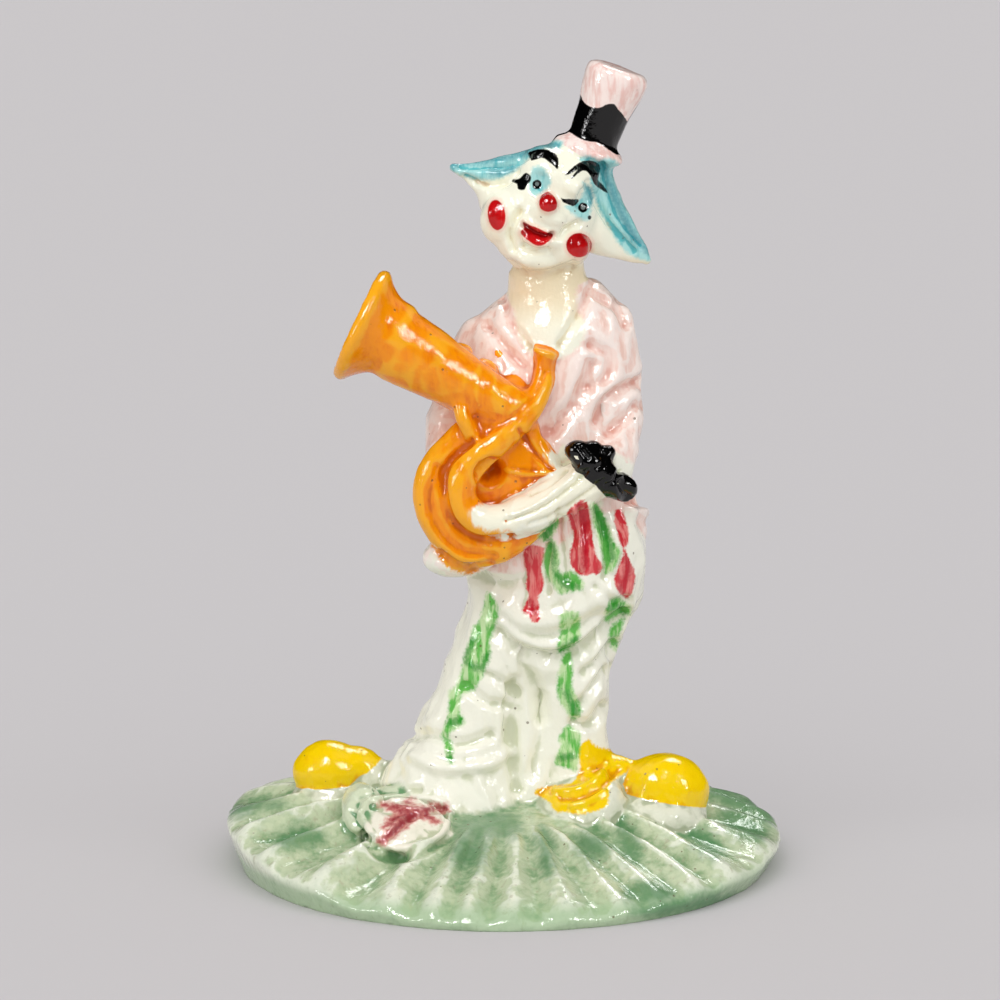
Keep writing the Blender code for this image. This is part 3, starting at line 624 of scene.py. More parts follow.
# The neck and the head are one form: a skull with a chin, a muzzle, a nose and full cheeks.
# The face is painted last, with a fine brush, over the cream glaze.
HEAD_TILT = 20
stack(
    "head",
    (98, 9.5, -5, 9.5, 7.5),
    (106, 10.4, -3, 10.6, 9.5),
    (112, 10.4, -1, 9.8, 9.0),
    (116, 9.6, -1, 8.7, 8.0),
    (124, 9.0, -1, 8.2, 7.5),
)
head_centre = place(9, -3, 132)
head_lean = Matrix.Rotation(math.radians(HEAD_TILT), 4, "Y")
for spot, radii in (
    ((0, 0, 0.5), (12.0, 11, 13.6)),
    ((0.4, -4.5, -9.6), (7.0, 6, 4.4)),
    ((-3.9, -4.5, -7.8), (5.0, 5, 4.6)),
    ((-0.4, -8.6, -10.2), (3.0, 2.4, 2.2)),
    ((0.2, -7.6, -3.6), (7.0, 4.6, 4.6)),
    ((0.7, -10.6, 0.4), (4.2, 2.6, 2.4)),
    ((-0.5, -12.6, 2.9), (2.3, 2.4, 2.5)),
    ((0, -2.5, 8), (9.5, 8, 7)),
    ((-9.8, -6.6, -3.8), (3.2, 3.0, 3.8)),
    ((8.2, -7.4, -4.6), (3.5, 3.4, 3.5)),
    ((-7.6, -5, -4.0), (5.8, 5, 6.4)),
    ((6.6, -5, -5), (5.6, 5, 5.2)),
    ((3.6, -9.2, 8.0), (3.0, 2.2, 2.2)),
):
    ball("head", head_centre + head_lean @ (UNIT * Vector(spot)), radii, HEAD_TILT)
crease(6.5, -1.2, (519, 211), (513, 223), (510, 235), (513, 249))
crease(6.5, -1.2, (552, 236), (561, 237), (568, 229), (579, 223))
crease(5, -1.2, (523, 225), (534, 233), (545, 236), (552, 235))
crease(4, 0.6, (525, 221), (535, 229), (547, 232))
crease(5, 0.9, (526, 238), (535, 243), (546, 243))
crease(5, -0.7, (524, 246), (536, 251), (548, 250))
crease(12, -1.3, (540, 178), (539, 186))
crease(11, -1.3, (586, 192), (582, 204))
crease(8, 0.5, (527, 156), (545, 151), (556, 164))
crease(8, 0.5, (569, 173), (584, 165), (598, 174))
crease(9, -1.0, (510, 265), (529, 275), (551, 274), (573, 266))
crease(10, -1.2, (489, 265), (455, 278), (421, 264), side="back")

patch(
    "black", (528, 153), (535, 150), (544, 149), (553, 152), (558, 158), (558, 169), (554, 166),
    (548, 161), (542, 158), (534, 160), (531, 160),
)
patch(
    "black", (565, 175), (573, 167), (583, 161), (593, 161), (600, 166), (599, 175), (598, 180),
    (603, 185), (608, 193), (602, 190), (594, 184), (591, 177), (586, 171), (580, 172), (573, 178),
    (571, 178), (577, 170), (570, 174),
)
patch(
    "black", (525, 173), (530, 175), (531, 180), (527, 185), (524, 190), (518, 189), (517, 184),
    (512, 182), (513, 179), (519, 179),
)
patch("black", (561, 198), (565, 199), (573, 199), (579, 200), (574, 206), (567, 204), (563, 202))
dab("black", 537, 184.5, 4.6, 4.8)
dab("black", 583, 207.5, 5, 5)
dab("black", 589.5, 217.5, 1.8, 2)
dab("pupil", 537, 184, 2, 2)
dab("pupil", 583, 207.5, 2.2, 2.2)
patch(
    "blue", (533, 167), (542, 167), (548, 174), (551, 182), (548, 188), (542, 193), (535, 196),
    (530, 192), (529, 184), (530, 176),
)
patch(
    "blue", (583, 182), (587, 185), (591, 188), (594, 198), (591, 210), (589, 220), (581, 219),
    (573, 214), (565, 206), (573, 204), (580, 199), (583, 193), (584, 187),
)
patch("blue", (579, 160), (590, 156), (600, 162), (606, 172), (600, 172), (592, 165))
patch(
    "red", (547, 192), (553, 195), (557, 202), (556, 209), (548, 212), (541, 209), (539, 203),
    (541, 196),
)
dab("red", 496.6, 215, 8.8, 15.2, -6)
dab("red", 579, 245.2, 12.8, 12.2)
patch(
    "red", (523, 222), (530, 225), (538, 228), (546, 232), (553, 234), (551, 239), (545, 244),
    (538, 246), (530, 242), (522, 235), (521, 231), (524, 228),
)

# The hair sweeps out to a point on each side: a long lock above and a fuller one below.
# Its tops are brushed in turquoise, and the undersides stay cream.
roll(
    "hair", (12.5, -2, 143.2, 4.0), (4, -3, 141.0, 4.2), (-4, -3, 140.2, 3.4),
    (-9.2, -3, 141, 1.9), (-11.4, -3, 141.6, 1.1),
)
roll("hair", (4, -3, 134, 5), (-0.4, -3, 134.5, 5.2), (-3.2, -3, 137, 4.0), (-6.5, -3, 139, 2.2))
roll(
    "hair", (19.6, -1, 142.3, 4.0), (22.0, -1, 134.5, 3.7), (25.8, -1, 127.6, 3.5),
    (30.0, -1, 122.4, 2.0), (31.8, -1, 120.6, 1.2),
)
roll("hair", (17, -2, 132, 5), (20.5, -1.5, 126.5, 4.6), (25, -1, 123, 2.4), (28.5, -1, 121.5, 1.6))
crease(6, -1.2, (461, 166), (483, 166), (505, 166), (526, 157))
crease(6, -1.1, (465, 177), (482, 184), (504, 183), (516, 171))
crease(6, -1.2, (602, 166), (609, 192), (619, 218), (641, 244))
crease(6, -1.1, (589, 182), (600, 207), (614, 229), (634, 250))
crease(10, -1.4, (432, 170), (446, 208), (459, 243), side="back")
crease(10, -1.4, (523, 170), (487, 183), (468, 221), side="back")
crease(10, -1.4, (369, 243), (396, 214), (423, 203), side="back")
patch(
    "blue", (448, 164), (470, 157), (502, 155), (526, 148), (542, 141), (562, 141), (559, 149),
    (545, 149), (530, 157), (520, 167), (510, 174), (499, 179), (482, 180), (462, 176), (450, 170),
)
patch(
    "blue", (604, 158), (620, 165), (622, 195), (632, 217), (642, 234), (655, 248), (655, 260),
    (643, 260), (628, 254), (617, 241), (609, 226), (600, 211), (594, 196), (590, 180), (594, 168),
)
patch(
    "blue", (480, 130), (560, 150), (560, 168), (520, 190), (500, 200), (470, 215), (450, 230),
    (420, 225), (390, 240), (345, 262), (345, 240), (370, 200), (390, 150), (420, 140),
    side="back",
)
brush(
    "blue deep", (452, 165, 3), (470, 161, 3), (490, 160, 3), (515, 156, 3), (535, 149, 3),
    (556, 146, 3),
)
brush("blue deep", (492, 172, 4), (500, 173, 3), (512, 169, 3))
brush("blue deep", (604, 168, 3), (612, 190, 4), (622, 214, 4), (634, 236, 4), (648, 251, 3))
brush("blue deep", (588, 188, 3), (591, 198, 3), (590, 206, 2))

# The small top hat is turned: a rolled brim and a crown that widens upwards, set askew.
# The crown and brim are pink, and the band is a thick glossy black with ragged edges.
CROWN = 19.4
HAT_TILT = 20
TURN_STEPS = 96
AXIS_WELD = 0.00002


def turned(group, profile, seat):
    """A form turned about its own axis from points of radius and height, then put in its seat."""
    obj = put(strung(group, [(r, 0, h) for r, h in profile]), group)
    screw = obj.modifiers.new("turn", "SCREW")
    screw.steps = screw.render_steps = TURN_STEPS
    screw.use_merge_vertices = True
    screw.merge_threshold = AXIS_WELD
    obj.matrix_world = seat
    return plain(obj)


hat_lean = Matrix.Rotation(math.radians(HAT_TILT), 4, "Y")
hat_seat = Matrix.Translation(place(18.7, -2, 145.2)) @ hat_lean
hat_profile = [(0, CROWN), (5.6, CROWN), (6.6, CROWN - 0.5), (7.1, CROWN - 1.7), (6.9, CROWN - 5)]
hat_profile += [(5.9, CROWN / 2), (5.5, 2.6), (6.6, 1.6), (7.8, 0.9), (8.3, 0.0)]
hat_profile += [(7.6, -0.9), (5.0, -1.8), (0, -2.2)]
add("hat", turned("hat", [(r * UNIT, h * UNIT) for r, h in hat_profile], hat_seat))
patch(
    "black", (576, 92), (581, 95), (583, 101), (589, 106), (597, 108), (602, 107), (607, 104),
    (615, 104), (618, 109), (623, 115), (629, 124), (632, 130), (625, 136), (621, 145), (619, 155),
    (610, 151), (599, 143), (586, 141), (577, 137), (569, 132), (561, 131), (564, 129), (572, 126),
    (572, 116), (576, 96),
)
patch(
    "black", (424, 92), (419, 96), (411, 103), (399, 107), (392, 106), (383, 109), (377, 116),
    (371, 124), (368, 130), (375, 136), (379, 145), (381, 155), (390, 151), (401, 144), (414, 141),
    (423, 137), (431, 132), (439, 131), (436, 129), (428, 126), (428, 116), (424, 96), side="back",
)
brush("black", (491, 120, 7), (491, 146, 7), side="left")
brush("black", (509, 102, 7), (509, 128, 7), side="right")

# The horn is a flaring bell on a fat pipe that coils round once and ends in a mouth pipe.
# The bell is hollowed out; the coil is filled in behind, so that the clay is one skin.
BELL_RADIUS = 0.0131
BELL_NECK = 0.0084
BELL_DEPTH = 0.011
BELL_LIP = 0.0024
BELL_RIM = (-30.6, -17, 108.4)
BELL_AIM = (-0.905, 0.1, 0.415)
flare = BELL_RADIUS - BELL_NECK
throat = BELL_RADIUS - BELL_LIP
aim = Vector(BELL_AIM).to_track_quat("Z", "Y").to_matrix().to_4x4()
bell_seat = Matrix.Translation(place(*BELL_RIM)) @ aim
bell_profile = (
    (0, BELL_LIP / 2),
    (throat, BELL_LIP * 0.7),
    (BELL_RADIUS - BELL_LIP * 0.5, BELL_LIP * 0.8),
    (BELL_RADIUS - BELL_LIP * 0.2, BELL_LIP * 0.6),
    (BELL_RADIUS, BELL_LIP * 0.1),
    (BELL_RADIUS - flare * 0.05, -flare * 0.1),
    (BELL_NECK + flare * 0.7, -flare * 0.3),
    (BELL_NECK + flare * 0.4, -flare * 0.58),
    (BELL_NECK + flare * 0.08, -flare * 1.1),
    (BELL_NECK, -flare * 1.9),
    (0, -flare * 1.9),
)
bore_profile = (
    (0, BELL_LIP * 2),
    (throat + BELL_LIP * 1.2, BELL_LIP * 2),
    (throat, BELL_LIP * 0.5),
    (throat * 0.72, BELL_LIP / 2 - BELL_DEPTH * 0.35),
    (throat * 0.5, BELL_LIP / 2 - BELL_DEPTH * 0.7),
    (throat * 0.28, BELL_LIP / 2 - BELL_DEPTH * 0.94),
    (0, BELL_LIP / 2 - BELL_DEPTH),
)
add("horn", turned("bell", bell_profile, bell_seat))
bore = turned("bell_bore", bore_profile, bell_seat)
ball("horn", place(8.9, -14, 102.2), (3.1, 3.1, 0.9), roll=16)
ball("horn", place(-1, -15.5, 75), (12, 4, 11))
for x, rise in ((-9.2, 102.7), (-3.8, 98.9), (2.6, 94.7)):
    ball("horn", place(x, -13.5, rise), (2.6, 2.4, 1.5), roll=30)
roll(
    "horn", (-23, -18, 104.1, 8.3), (-19, -18, 101.8, 7.9), (-12.6, -18, 97.9, 6.9),
    (-4.2, -18, 93.0, 5.8), (2.3, -18, 90.0, 4.5),
)
roll(
    "horn",
    (2.3, -17, 90.5, 4.2),
    (-5.3, -18.5, 86.9, 3.6),
    (-11.8, -19, 81.8, 3.3),
    (-16.0, -19.5, 75.8, 3.3),
    (-16.6, -19.5, 69.1, 3.3),
    (-13.8, -19.5, 63.0, 3.3),
    (-7.5, -19.5, 58.5, 3.4),
    (-0.9, -19.5, 59.5, 3.4),
    (4.6, -19, 62.4, 2.7),
    (9.6, -17, 66.2, 1.6),
)
roll(
    "horn",
    (-5, -17.5, 84, 3.0),
    (-10.5, -19, 78.6, 3.0),
    (-12.8, -19.5, 72, 3.0),
    (-10.8, -19.5, 65.2, 3.0),
    (-4.4, -19.5, 61.8, 3.0),
    (4, -18.5, 63.8, 3.0),
)
roll(
    "horn",
    (8.9, -14, 100.6, 2.3),
    (8.7, -14, 98.4, 2.0),
    (8.1, -16, 94.4, 2.5),
    (5.2, -18.5, 89.4, 2.9),
    (0.2, -21, 84.9, 3.2),
    (-5.8, -23, 80.3, 3.4),
    (-9.3, -23.5, 75.2, 3.4),
    (-9.3, -23.5, 70.1, 3.6),
    (-5.8, -23, 66.3, 3.8),
    (0.2, -22, 65.7, 4.1),
)
roll("horn", (-10.2, -22, 93.0, 1.3), (-8.8, -23.5, 88.6, 1.9), (-7.2, -23, 85.0, 1.5))
roll("horn", (5.5, -16.5, 86.4, 2.0), (7.4, -16, 80.5, 2.8), (9.0, -16, 77, 3.2))
roll(
    "horn", (-3, -12, 92.4, 4.6), (-3, -12.5, 84, 6.2), (-1, -13, 74, 6.2),
    (1.5, -14.2, 62.4, 3.6),
)
crease(6, -1.1, (472, 441), (448, 463), (443, 489), (452, 521), (476, 539), (513, 538))
crease(18, -4.2, (488, 473), (492, 471))

# The hands: the right one holds the coil from below, and the left one, in a black glove, hangs
# over the end of a white forearm that comes out of the coil of the horn.
roll(
    "forearm", (0.2, -22, 65.7, 4.1), (6.7, -21, 68, 4.6), (12.7, -19, 71.2, 5),
    (18.9, -16, 74.2, 5.5), (23, -10, 76, 5.6),
)
roll(
    "glove", (16.0, -20.5, 81.2, 2.6), (20.0, -20, 77.2, 3.4), (23.7, -18, 73.6, 3.2),
    (26.5, -15.5, 71.8, 3.1),
)
ball("glove", place(15.0, -19.5, 81.2), (2.0, 2.2, 2.0))
ball("glove", place(19.4, -18.5, 81.4), (2.1, 2.6, 2.0))
ball("glove", place(22.8, -17.5, 80.4), (1.9, 2.6, 1.9))
ball("hand", place(-9.3, -13, 56.8), (8.8, 7, 4.8), roll=-8)
crease(4, -0.8, (580, 446), (588, 458))
crease(4, -0.6, (602, 452), (604, 462), (598, 468))
crease(4, -0.6, (620, 470), (614, 482), (606, 486))
crease(8, -1.0, (439, 554), (461, 568), (491, 565))
crease(4, -0.7, (506, 521), (534, 511), (562, 494), (588, 470))
crease(4, 0.5, (512, 516), (538, 504), (562, 486), (582, 466))
crease(4, -0.6, (530, 524), (556, 514), (582, 496), (604, 480))
crease(4, -0.6, (530, 494), (550, 484), (566, 470))
crease(9, -0.9, (438, 468), (430, 498), (438, 528), (460, 550), (494, 557))
crease(5, -0.4, (545, 372), (532, 398), (508, 420), (482, 436))
crease(5, -0.8, (520, 430), (534, 452), (552, 470))
crease(4, 0.7, (505, 470), (528, 474), (552, 472))
patch(
    "white over orange", (484, 503), (504, 499), (515, 495), (528, 487), (545, 479), (556, 472),
    (549, 462), (548, 452), (580, 448), (606, 505), (560, 521), (535, 522), (515, 529), (495, 531),
    (478, 527), (470, 518), (470, 508),
)
brush("orange daubs", (428, 533, 5), (440, 548, 6), (452, 562, 7), (470, 568, 6), (482, 562, 5))

# The clay is pressed together into one skin, marked with the tool and fired.
# The skin is meshed closely first, then thinned out where the clay is plain.
GRAIN = 0.00048
FIRST_GRAIN = 0.0007
TRIANGLES = 157000
SPONGE_ROUNDS = 6
SHEET = 4467  # sheet units in a metre of the figurine
SHEET_SIZE = 1000
EYE_TARGET = np.array([-0.00094, 0, 0.0825])
EYE_DISTANCE = 1.0512
EYE_PITCH = math.radians(10.45)
LENS = 169.06
SENSOR = 36
SIDES = {"front": 0, "left": 90, "back": 180, "right": -90}
FACE = ((548, 205), (62, 66))  # the face's middle and half sizes on the front sheet
REACH = 9  # how far, in sheet units, a paint's edge is known
FAR = 20  # how far, in sheet units, a form is looked for
THICK_PAINT = 4  # how far, in sheet units, the horn's paint reaches beyond the horn
MARK_STEPS = 30
STROKE_STEPS = 8
OUTLINE_STEPS = 3
GRAZING = 0.02  # the least facing at which an eye sees the skin
CLEAR = 0.0002  # how far off the skin, in metres, a line of sight starts


def eye(side):
    """Where the eye is that draws a side, and its own axes."""
    turn = math.radians(SIDES[side])
    flat, lift = math.cos(EYE_PITCH), math.sin(EYE_PITCH)
    back = np.array([math.sin(turn) * flat, -math.cos(turn) * flat, lift])
    across = np.array([math.cos(turn), math.sin(turn), 0])
    return EYE_TARGET + EYE_DISTANCE * back, across, np.cross(back, across), back


class Skin:
    """The skin's points with their normals, neighbours and places on the drawing sheets."""

    def __init__(self, obj):
        self.mesh = obj.data
        count = len(self.mesh.vertices)
        self.points = np.empty(count * 3)
        self.mesh.vertices.foreach_get("co", self.points)
        self.points = self.points.reshape(-1, 3)
        self.normals = np.empty(count * 3)
        self.mesh.vertex_normals.foreach_get("vector", self.normals)
        self.normals = self.normals.reshape(-1, 3)
        edges = np.empty(len(self.mesh.edges) * 2, int)
        self.mesh.edges.foreach_get("vertices", edges)
        edges = edges.reshape(-1, 2)
        ends = np.concatenate([edges, edges[:, ::-1]])
        ends = ends[np.argsort(ends[:, 0], kind="stable")]
        self.near = ends[:, 1]
        self.starts = np.searchsorted(ends[:, 0], np.arange(count))
        self.degree = np.diff(np.append(self.starts, len(ends)))[:, None]
        self.sheets = {}
        self.tree = BVHTree.FromObject(obj, bpy.context.evaluated_depsgraph_get())

    def eased(self, values, rounds):
        """Values spread evenly over neighbours, a number of times."""
        values = values.reshape(len(self.points), -1)
        for _ in range(rounds):
            around = np.add.reduceat(values[self.near], self.starts) / self.degree
            values = 0.5 * values + 0.5 * around
        return values

    def sheet(self, side):
        """Places on a side's sheet, and how well the side's eye sees each point."""
        if side not in self.sheets:
            centre, across, up, back = eye(side)
            ray = self.points - centre
            depth = -(ray @ back)
            scale = LENS / SENSOR * SHEET_SIZE / depth
            middle = SHEET_SIZE / 2
            spots = np.stack([middle + scale * (ray @ across), middle - scale * (ray @ up)], axis=1)
            facing = -(ray * self.normals).sum(1) / np.linalg.norm(ray, axis=1)
            seen = np.zeros(len(spots))
            for k in np.nonzero(facing > GRAZING)[0]:
                start = Vector(self.points[k] + self.normals[k] * CLEAR)
                if self.tree.ray_cast(start, Vector(centre) - start)[0] is None:
                    seen[k] = 1
            self.sheets[side] = (spots, self.eased(seen, 3)[:, 0])
        return self.sheets[side]

    def note(self, name, values):
        """Writes a value for each point into the mesh."""
        notes = self.mesh.attributes.new(name, "FLOAT", "POINT")
        notes.data.foreach_set("value", values.astype(np.float32))

    def push(self, amounts):
        """Moves the points along their normals, in metres."""
        self.points = self.points + self.normals * amounts[:, None]
        self.mesh.vertices.foreach_set("co", self.points.ravel())
        self.mesh.update()

    def carve(self, marks):
        """Presses in or raises marks along their lines."""
        amounts = np.zeros(len(self.points))
        for side, width, depth, line in marks:
            spots, seen = self.sheet(side)
            path = smooth_path(line, MARK_STEPS)
            low, high = path.min(0) - width, path.max(0) + width
            near = np.nonzero(((spots > low) & (spots < high)).all(1) & (seen > 0))[0]
            away = np.hypot(*(spots[near][:, None] - path).transpose(2, 0, 1)).min(1)
            fall = 0.5 + 0.5 * np.cos(np.pi * np.minimum(1, away / width))
            amounts[near] += fall * seen[near] * depth * UNIT
        self.push(amounts)


def pressed():
    """All the clay pressed together into one closed skin, with the bell hollowed out."""
    bm = bmesh.new()
    for pieces in clay.values():
        for piece in pieces:
            bm.from_mesh(piece.data)
    mesh = bpy.data.meshes.new("clown_figurine_glazed")
    bm.to_mesh(mesh)
    bm.free()
    obj = put(mesh, "clown_figurine_glazed")
    for name, grain in (("skin", FIRST_GRAIN), ("hollowed skin", GRAIN)):
        skin = obj.modifiers.new(name, "REMESH")
        skin.mode = "VOXEL"
        skin.voxel_size = grain
        if name == "skin":
            obj.modifiers.new("hollow", "BOOLEAN").object = bore
    sponge = obj.modifiers.new("sponge", "SMOOTH")
    sponge.factor = 0.5
    sponge.iterations = SPONGE_ROUNDS
    return plain(obj)


def worked_clay():
    """The tree that leaves the ridges and dents of fingers and tools all over the clay."""
    clay_work = worktree(
        "hand worked clay",
        {
            "Crumple": 0.011,
            "Crumple depth": 0.0014,
            "Dent": 0.0042,
            "Dent depth": 0.0007,
            "Waver": 0.006,
        },
    )
    spot = clay_work["Clay"].node("GeometryNodeInputPosition")
    amount = spot.node("GeometryNodeInputNamedAttribute", None, "worked", out="Attribute")
    waver = spot.node("ShaderNodeTexNoise", None, spot, Scale=90.0, Detail=1.0, out="Color")
    waver = waver.node("ShaderNodeVectorMath", {"operation": "SUBTRACT"}, waver, (0.5, 0.5, 0.5))
    scaled = {"operation": "SCALE"}
    bent = waver.node("ShaderNodeVectorMath", scaled, waver, Scale=clay_work["Waver"])
    bent = bent.node("ShaderNodeVectorMath", {"operation": "ADD"}, bent, spot)
    bent = bent.node("ShaderNodeVectorMath", {"operation": "MULTIPLY"}, bent, (1, 1, 0.6))
    relief = amount * 0
    for seed, size, depth in ((0, "Crumple", "Crumple depth"), (5, "Dent", "Dent depth")):
        solid = {"noise_dimensions": "4D"}
        wave = spot.node("ShaderNodeTexNoise", solid, bent, float(seed), 1 / clay_work[size], 0.0)
        ridge = 1 - (wave - 0.5).sum("ABSOLUTE", wave - 0.5) * 4
        relief = relief + (ridge - 0.6) * clay_work[depth]
    normal = spot.node("GeometryNodeInputNormal")
    shift = normal.node("ShaderNodeVectorMath", scaled, normal, Scale=relief * amount)
    return finish_tree(spot.node("GeometryNodeSetPosition", None, clay_work["Clay"], Offset=shift))


def in_face(spots, seen):
    """Which points belong to the painted face."""
    centre, half = np.array(FACE)
    return (seen > 0.5) & ((((spots - centre) / half) ** 2).sum(1) < 1)


# How strongly the fingers have worked each part's clay.
WORKED = {"mound": 0.2, "petals": 0.45, "leaf": 0.35, "toes": 0.4, "soles": 0.4}
WORKED |= {"trousers": 0.6, "coat": 0.55, "horn": 0.25, "forearm": 0.4, "glove": 0.15}
WORKED |= {"hand": 0.5, "head": 0.12, "hair": 0.3, "hat": 0.2}
WORKED_ROUNDS = 12
clown = pressed()
skin = Skin(clown)
kinds, faces, corners = [], [], []
for group, pieces in clay.items():
    for piece in pieces:
        faces += [[k + len(corners) for k in face.vertices] for face in piece.data.polygons]
        corners += [v.co for v in piece.data.vertices]
        kinds += [WORKED[group]] * len(piece.data.polygons)
forms = BVHTree.FromPolygons(corners, faces)
amounts = np.array([kinds[forms.find_nearest(Vector(point))[2]] for point in skin.points])
skin.note("worked", skin.eased(amounts, WORKED_ROUNDS)[:, 0])
clown = worked(clown, worked_clay(), {})
skin = Skin(clown)
skin.carve(creases)
skin.points = np.clip(skin.points, *cad_box)
skin.push(np.zeros(len(skin.points)))
keep = clown.vertex_groups.new(name="plain clay")
keep.add([int(k) for k in np.nonzero(~in_face(*skin.sheet("front")))[0]], 1, "REPLACE")
thin = clown.modifiers.new("thin", "DECIMATE")
thin.ratio = TRIANGLES / (2 * len(clown.data.polygons))
thin.vertex_group = keep.name
clown = plain(clown)
clown.name = "clown_figurine_glazed"

bm = bmesh.new()
bm.from_mesh(clown.data)
table = {"plane_co": (0, 0, 0), "plane_no": (0, 0, -1)}
parts = [*bm.verts, *bm.edges, *bm.faces]
cut = bmesh.ops.bisect_plane(bm, geom=parts, dist=WELD, clear_outer=True, **table)
foot = [part for part in cut["geom_cut"] if isinstance(part, bmesh.types.BMEdge)]
bmesh.ops.edgeloop_fill(bm, edges=foot)
bmesh.ops.triangulate(bm, faces=[face for face in bm.faces if len(face.verts) > 4])
bm.to_mesh(clown.data)
bm.free()

skin = Skin(clown)
fine = in_face(*skin.sheet("front"))
bm = bmesh.new()
bm.from_mesh(clown.data)
bm.verts.ensure_lookup_table()
edges = [edge for edge in bm.edges if fine[edge.verts[0].index] and fine[edge.verts[1].index]]
bmesh.ops.subdivide_edges(bm, edges=edges, cuts=1, use_grid_fill=True, smooth=0.4)
bmesh.ops.triangulate(bm, faces=bm.faces)
bm.to_mesh(clown.data)
bm.free()
clown.data.shade_smooth()
skin = Skin(clown)


def stroke_field(spots, rows):
    """How far inside a stroke of varying half width each place lies."""
    path = smooth_path(rows, STROKE_STEPS)
    away = np.hypot(*(spots[:, None] - path[:, :2]).transpose(2, 0, 1))
    return (path[:, 2] - away).max(1)


def patch_field(spots, outline):
    """How far inside a closed outline each place lies; less than nothing outside."""
    ring = [outline[-1], *outline, outline[0], outline[1]]
    start = smooth_path(ring, OUTLINE_STEPS)[OUTLINE_STEPS : -OUTLINE_STEPS - 1]
    side = np.roll(start, -1, axis=0) - start
    gap = spots[:, None] - start
    share = np.clip((gap * side).sum(2) / (side**2).sum(1), 0, 1)
    away = np.hypot(*(gap - share[..., None] * side).transpose(2, 0, 1)).min(1)
    above = (start[:, 1] > spots[:, 1:2]) != (start[:, 1] + side[:, 1] > spots[:, 1:2])
    slope = np.where(side[:, 1] == 0, 1, side[:, 1])
    left = gap[..., 0] < side[:, 0] * gap[..., 1] / slope
    inside = (above & left).sum(1) % 2 == 1
    return np.where(inside, away, -away)


def painted(colour):
    """A colour's field over the skin, from all the shapes brushed on in it."""
    field = np.full(len(skin.points), -float(REACH))
    for kind, side, rows in paint.get(colour, []):
        spots, seen = skin.sheet(side)
        shape = np.array(rows, float)
        low, high = shape[:, :2].min(0) - 2 * REACH, shape[:, :2].max(0) + 2 * REACH
        near = np.nonzero(((spots > low) & (spots < high)).all(1) & (seen > 0.25))[0]
        work = stroke_field if kind == "stroke" else patch_field
        field[near] = np.maximum(field[near], work(spots[near], rows))
    return np.clip(field, -REACH, REACH)


def distance(group):
    """How far each point of the skin is outside a group's forms, in sheet units."""
    field = np.full(len(skin.points), float(FAR))
    for piece in clay[group]:
        shape = measured(piece)
        box = np.array([v.co for v in piece.data.vertices])
        margin = FAR / SHEET
        near = ((skin.points > box.min(0) - margin) & (skin.points < box.max(0) + margin)).all(1)
        for k in np.nonzero(near)[0]:
            spot, normal, _, away = shape.find_nearest(Vector(skin.points[k]))
            inside = normal.dot(Vector(skin.points[k]) - spot) < 0
            field[k] = min(field[k], -away * SHEET if inside else away * SHEET)
    return field


away = {group: distance(group) for group in clay}


def form(*groups):
    """A field that is positive where a point is nearer to these groups' forms than to the rest."""
    own = np.min([away[group] for group in groups], axis=0)
    rest = np.min([away[group] for group in clay if group not in groups], axis=0)
    return rest - own


def hollow(rounds):
    """How deep each point lies in a crease, in metres, against the eased skin."""
    return ((skin.eased(skin.points, rounds) - skin.points) * skin.normals).sum(1)


fields = {
    "coat": form("coat"),
    "horn": np.minimum(form("horn"), THICK_PAINT - away["horn"]),
    "head": form("head", "hair", "hat"),
    "hair": form("hair"),
    "hat": form("hat"),
    "toes": form("toes"),
    "soles": form("soles", "toes"),
    "glove": form("glove"),
    "ground": form("mound", "leaf", "petals"),
    "leaf": form("leaf"),
    "petals": form("petals"),
    "hand": form("hand"),
    "crease": hollow(6) * 1e4,
    "fold": hollow(60) * 1e3,
}
for colour in paint:
    fields[colour] = painted(colour)
for name, values in fields.items():
    skin.note(name, values)

for pieces in clay.values():
    for piece in pieces:
        bpy.data.objects.remove(piece)
bpy.data.objects.remove(bore)


# The glaze is a thick clear gloss over brushed colours that pool in the creases; most washes are
# darkened there further as painted shade, and some ridges carry a painted highlight.
# Each colour is laid over the last, and the black goes on at the end.
GLAZE_IOR = 1.52
SPECKS = 380.0  # grains of the clay in a metre


def ink(red, green, blue):
    """A colour from the 0 to 255 values of a paint chart."""
    shares = (red / 255, green / 255, blue / 255)
    return (*(((c + 0.055) / 1.055) ** 2.4 if c > 0.0393 else c / 12.92 for c in shares), 1)


glaze.use_nodes = True
glaze.node_tree.nodes.clear()
board = Wire(glaze.node_tree)
spot = board.node("ShaderNodeTexCoord", out="Object")


def field(name):
    """How far inside a form or a painted shape the surface lies, in sheet units."""
    return board.node("ShaderNodeAttribute", {"attribute_name": name}, out="Fac")


def cloud(scale, detail=3.0, stretch=(1, 1, 1), turn=(0, 0, 0)):
    """Uneven strength from 0 to 1, at so many lumps a metre, drawn out along an axis if need be."""
    lumps = board.node("ShaderNodeMapping", None, spot, Rotation=turn, Scale=stretch)
    return board.node("ShaderNodeTexNoise", None, lumps, Scale=scale, Detail=detail, Roughness=0.55)


def over(under, colour, amount):
    """One paint laid over another."""
    gaps = [None] * 5
    return board.node("ShaderNodeMix", {"data_type": "RGBA"}, amount, *gaps, under, colour, out=2)


def wash(pale, deep, amount, soft):
    """A brushed colour that deepens softly as an amount rises above nothing."""
    return over(ink(*pale), ink(*deep), amount.step(0, soft))


def edge(name, soft, ragged, grain=1400, shift=0.0):
    """A painted shape's cover from 0 to 1, with a ragged brushed edge."""
    return (field(name) + (cloud(grain) - 0.5) * ragged).step(shift - soft, shift + soft)


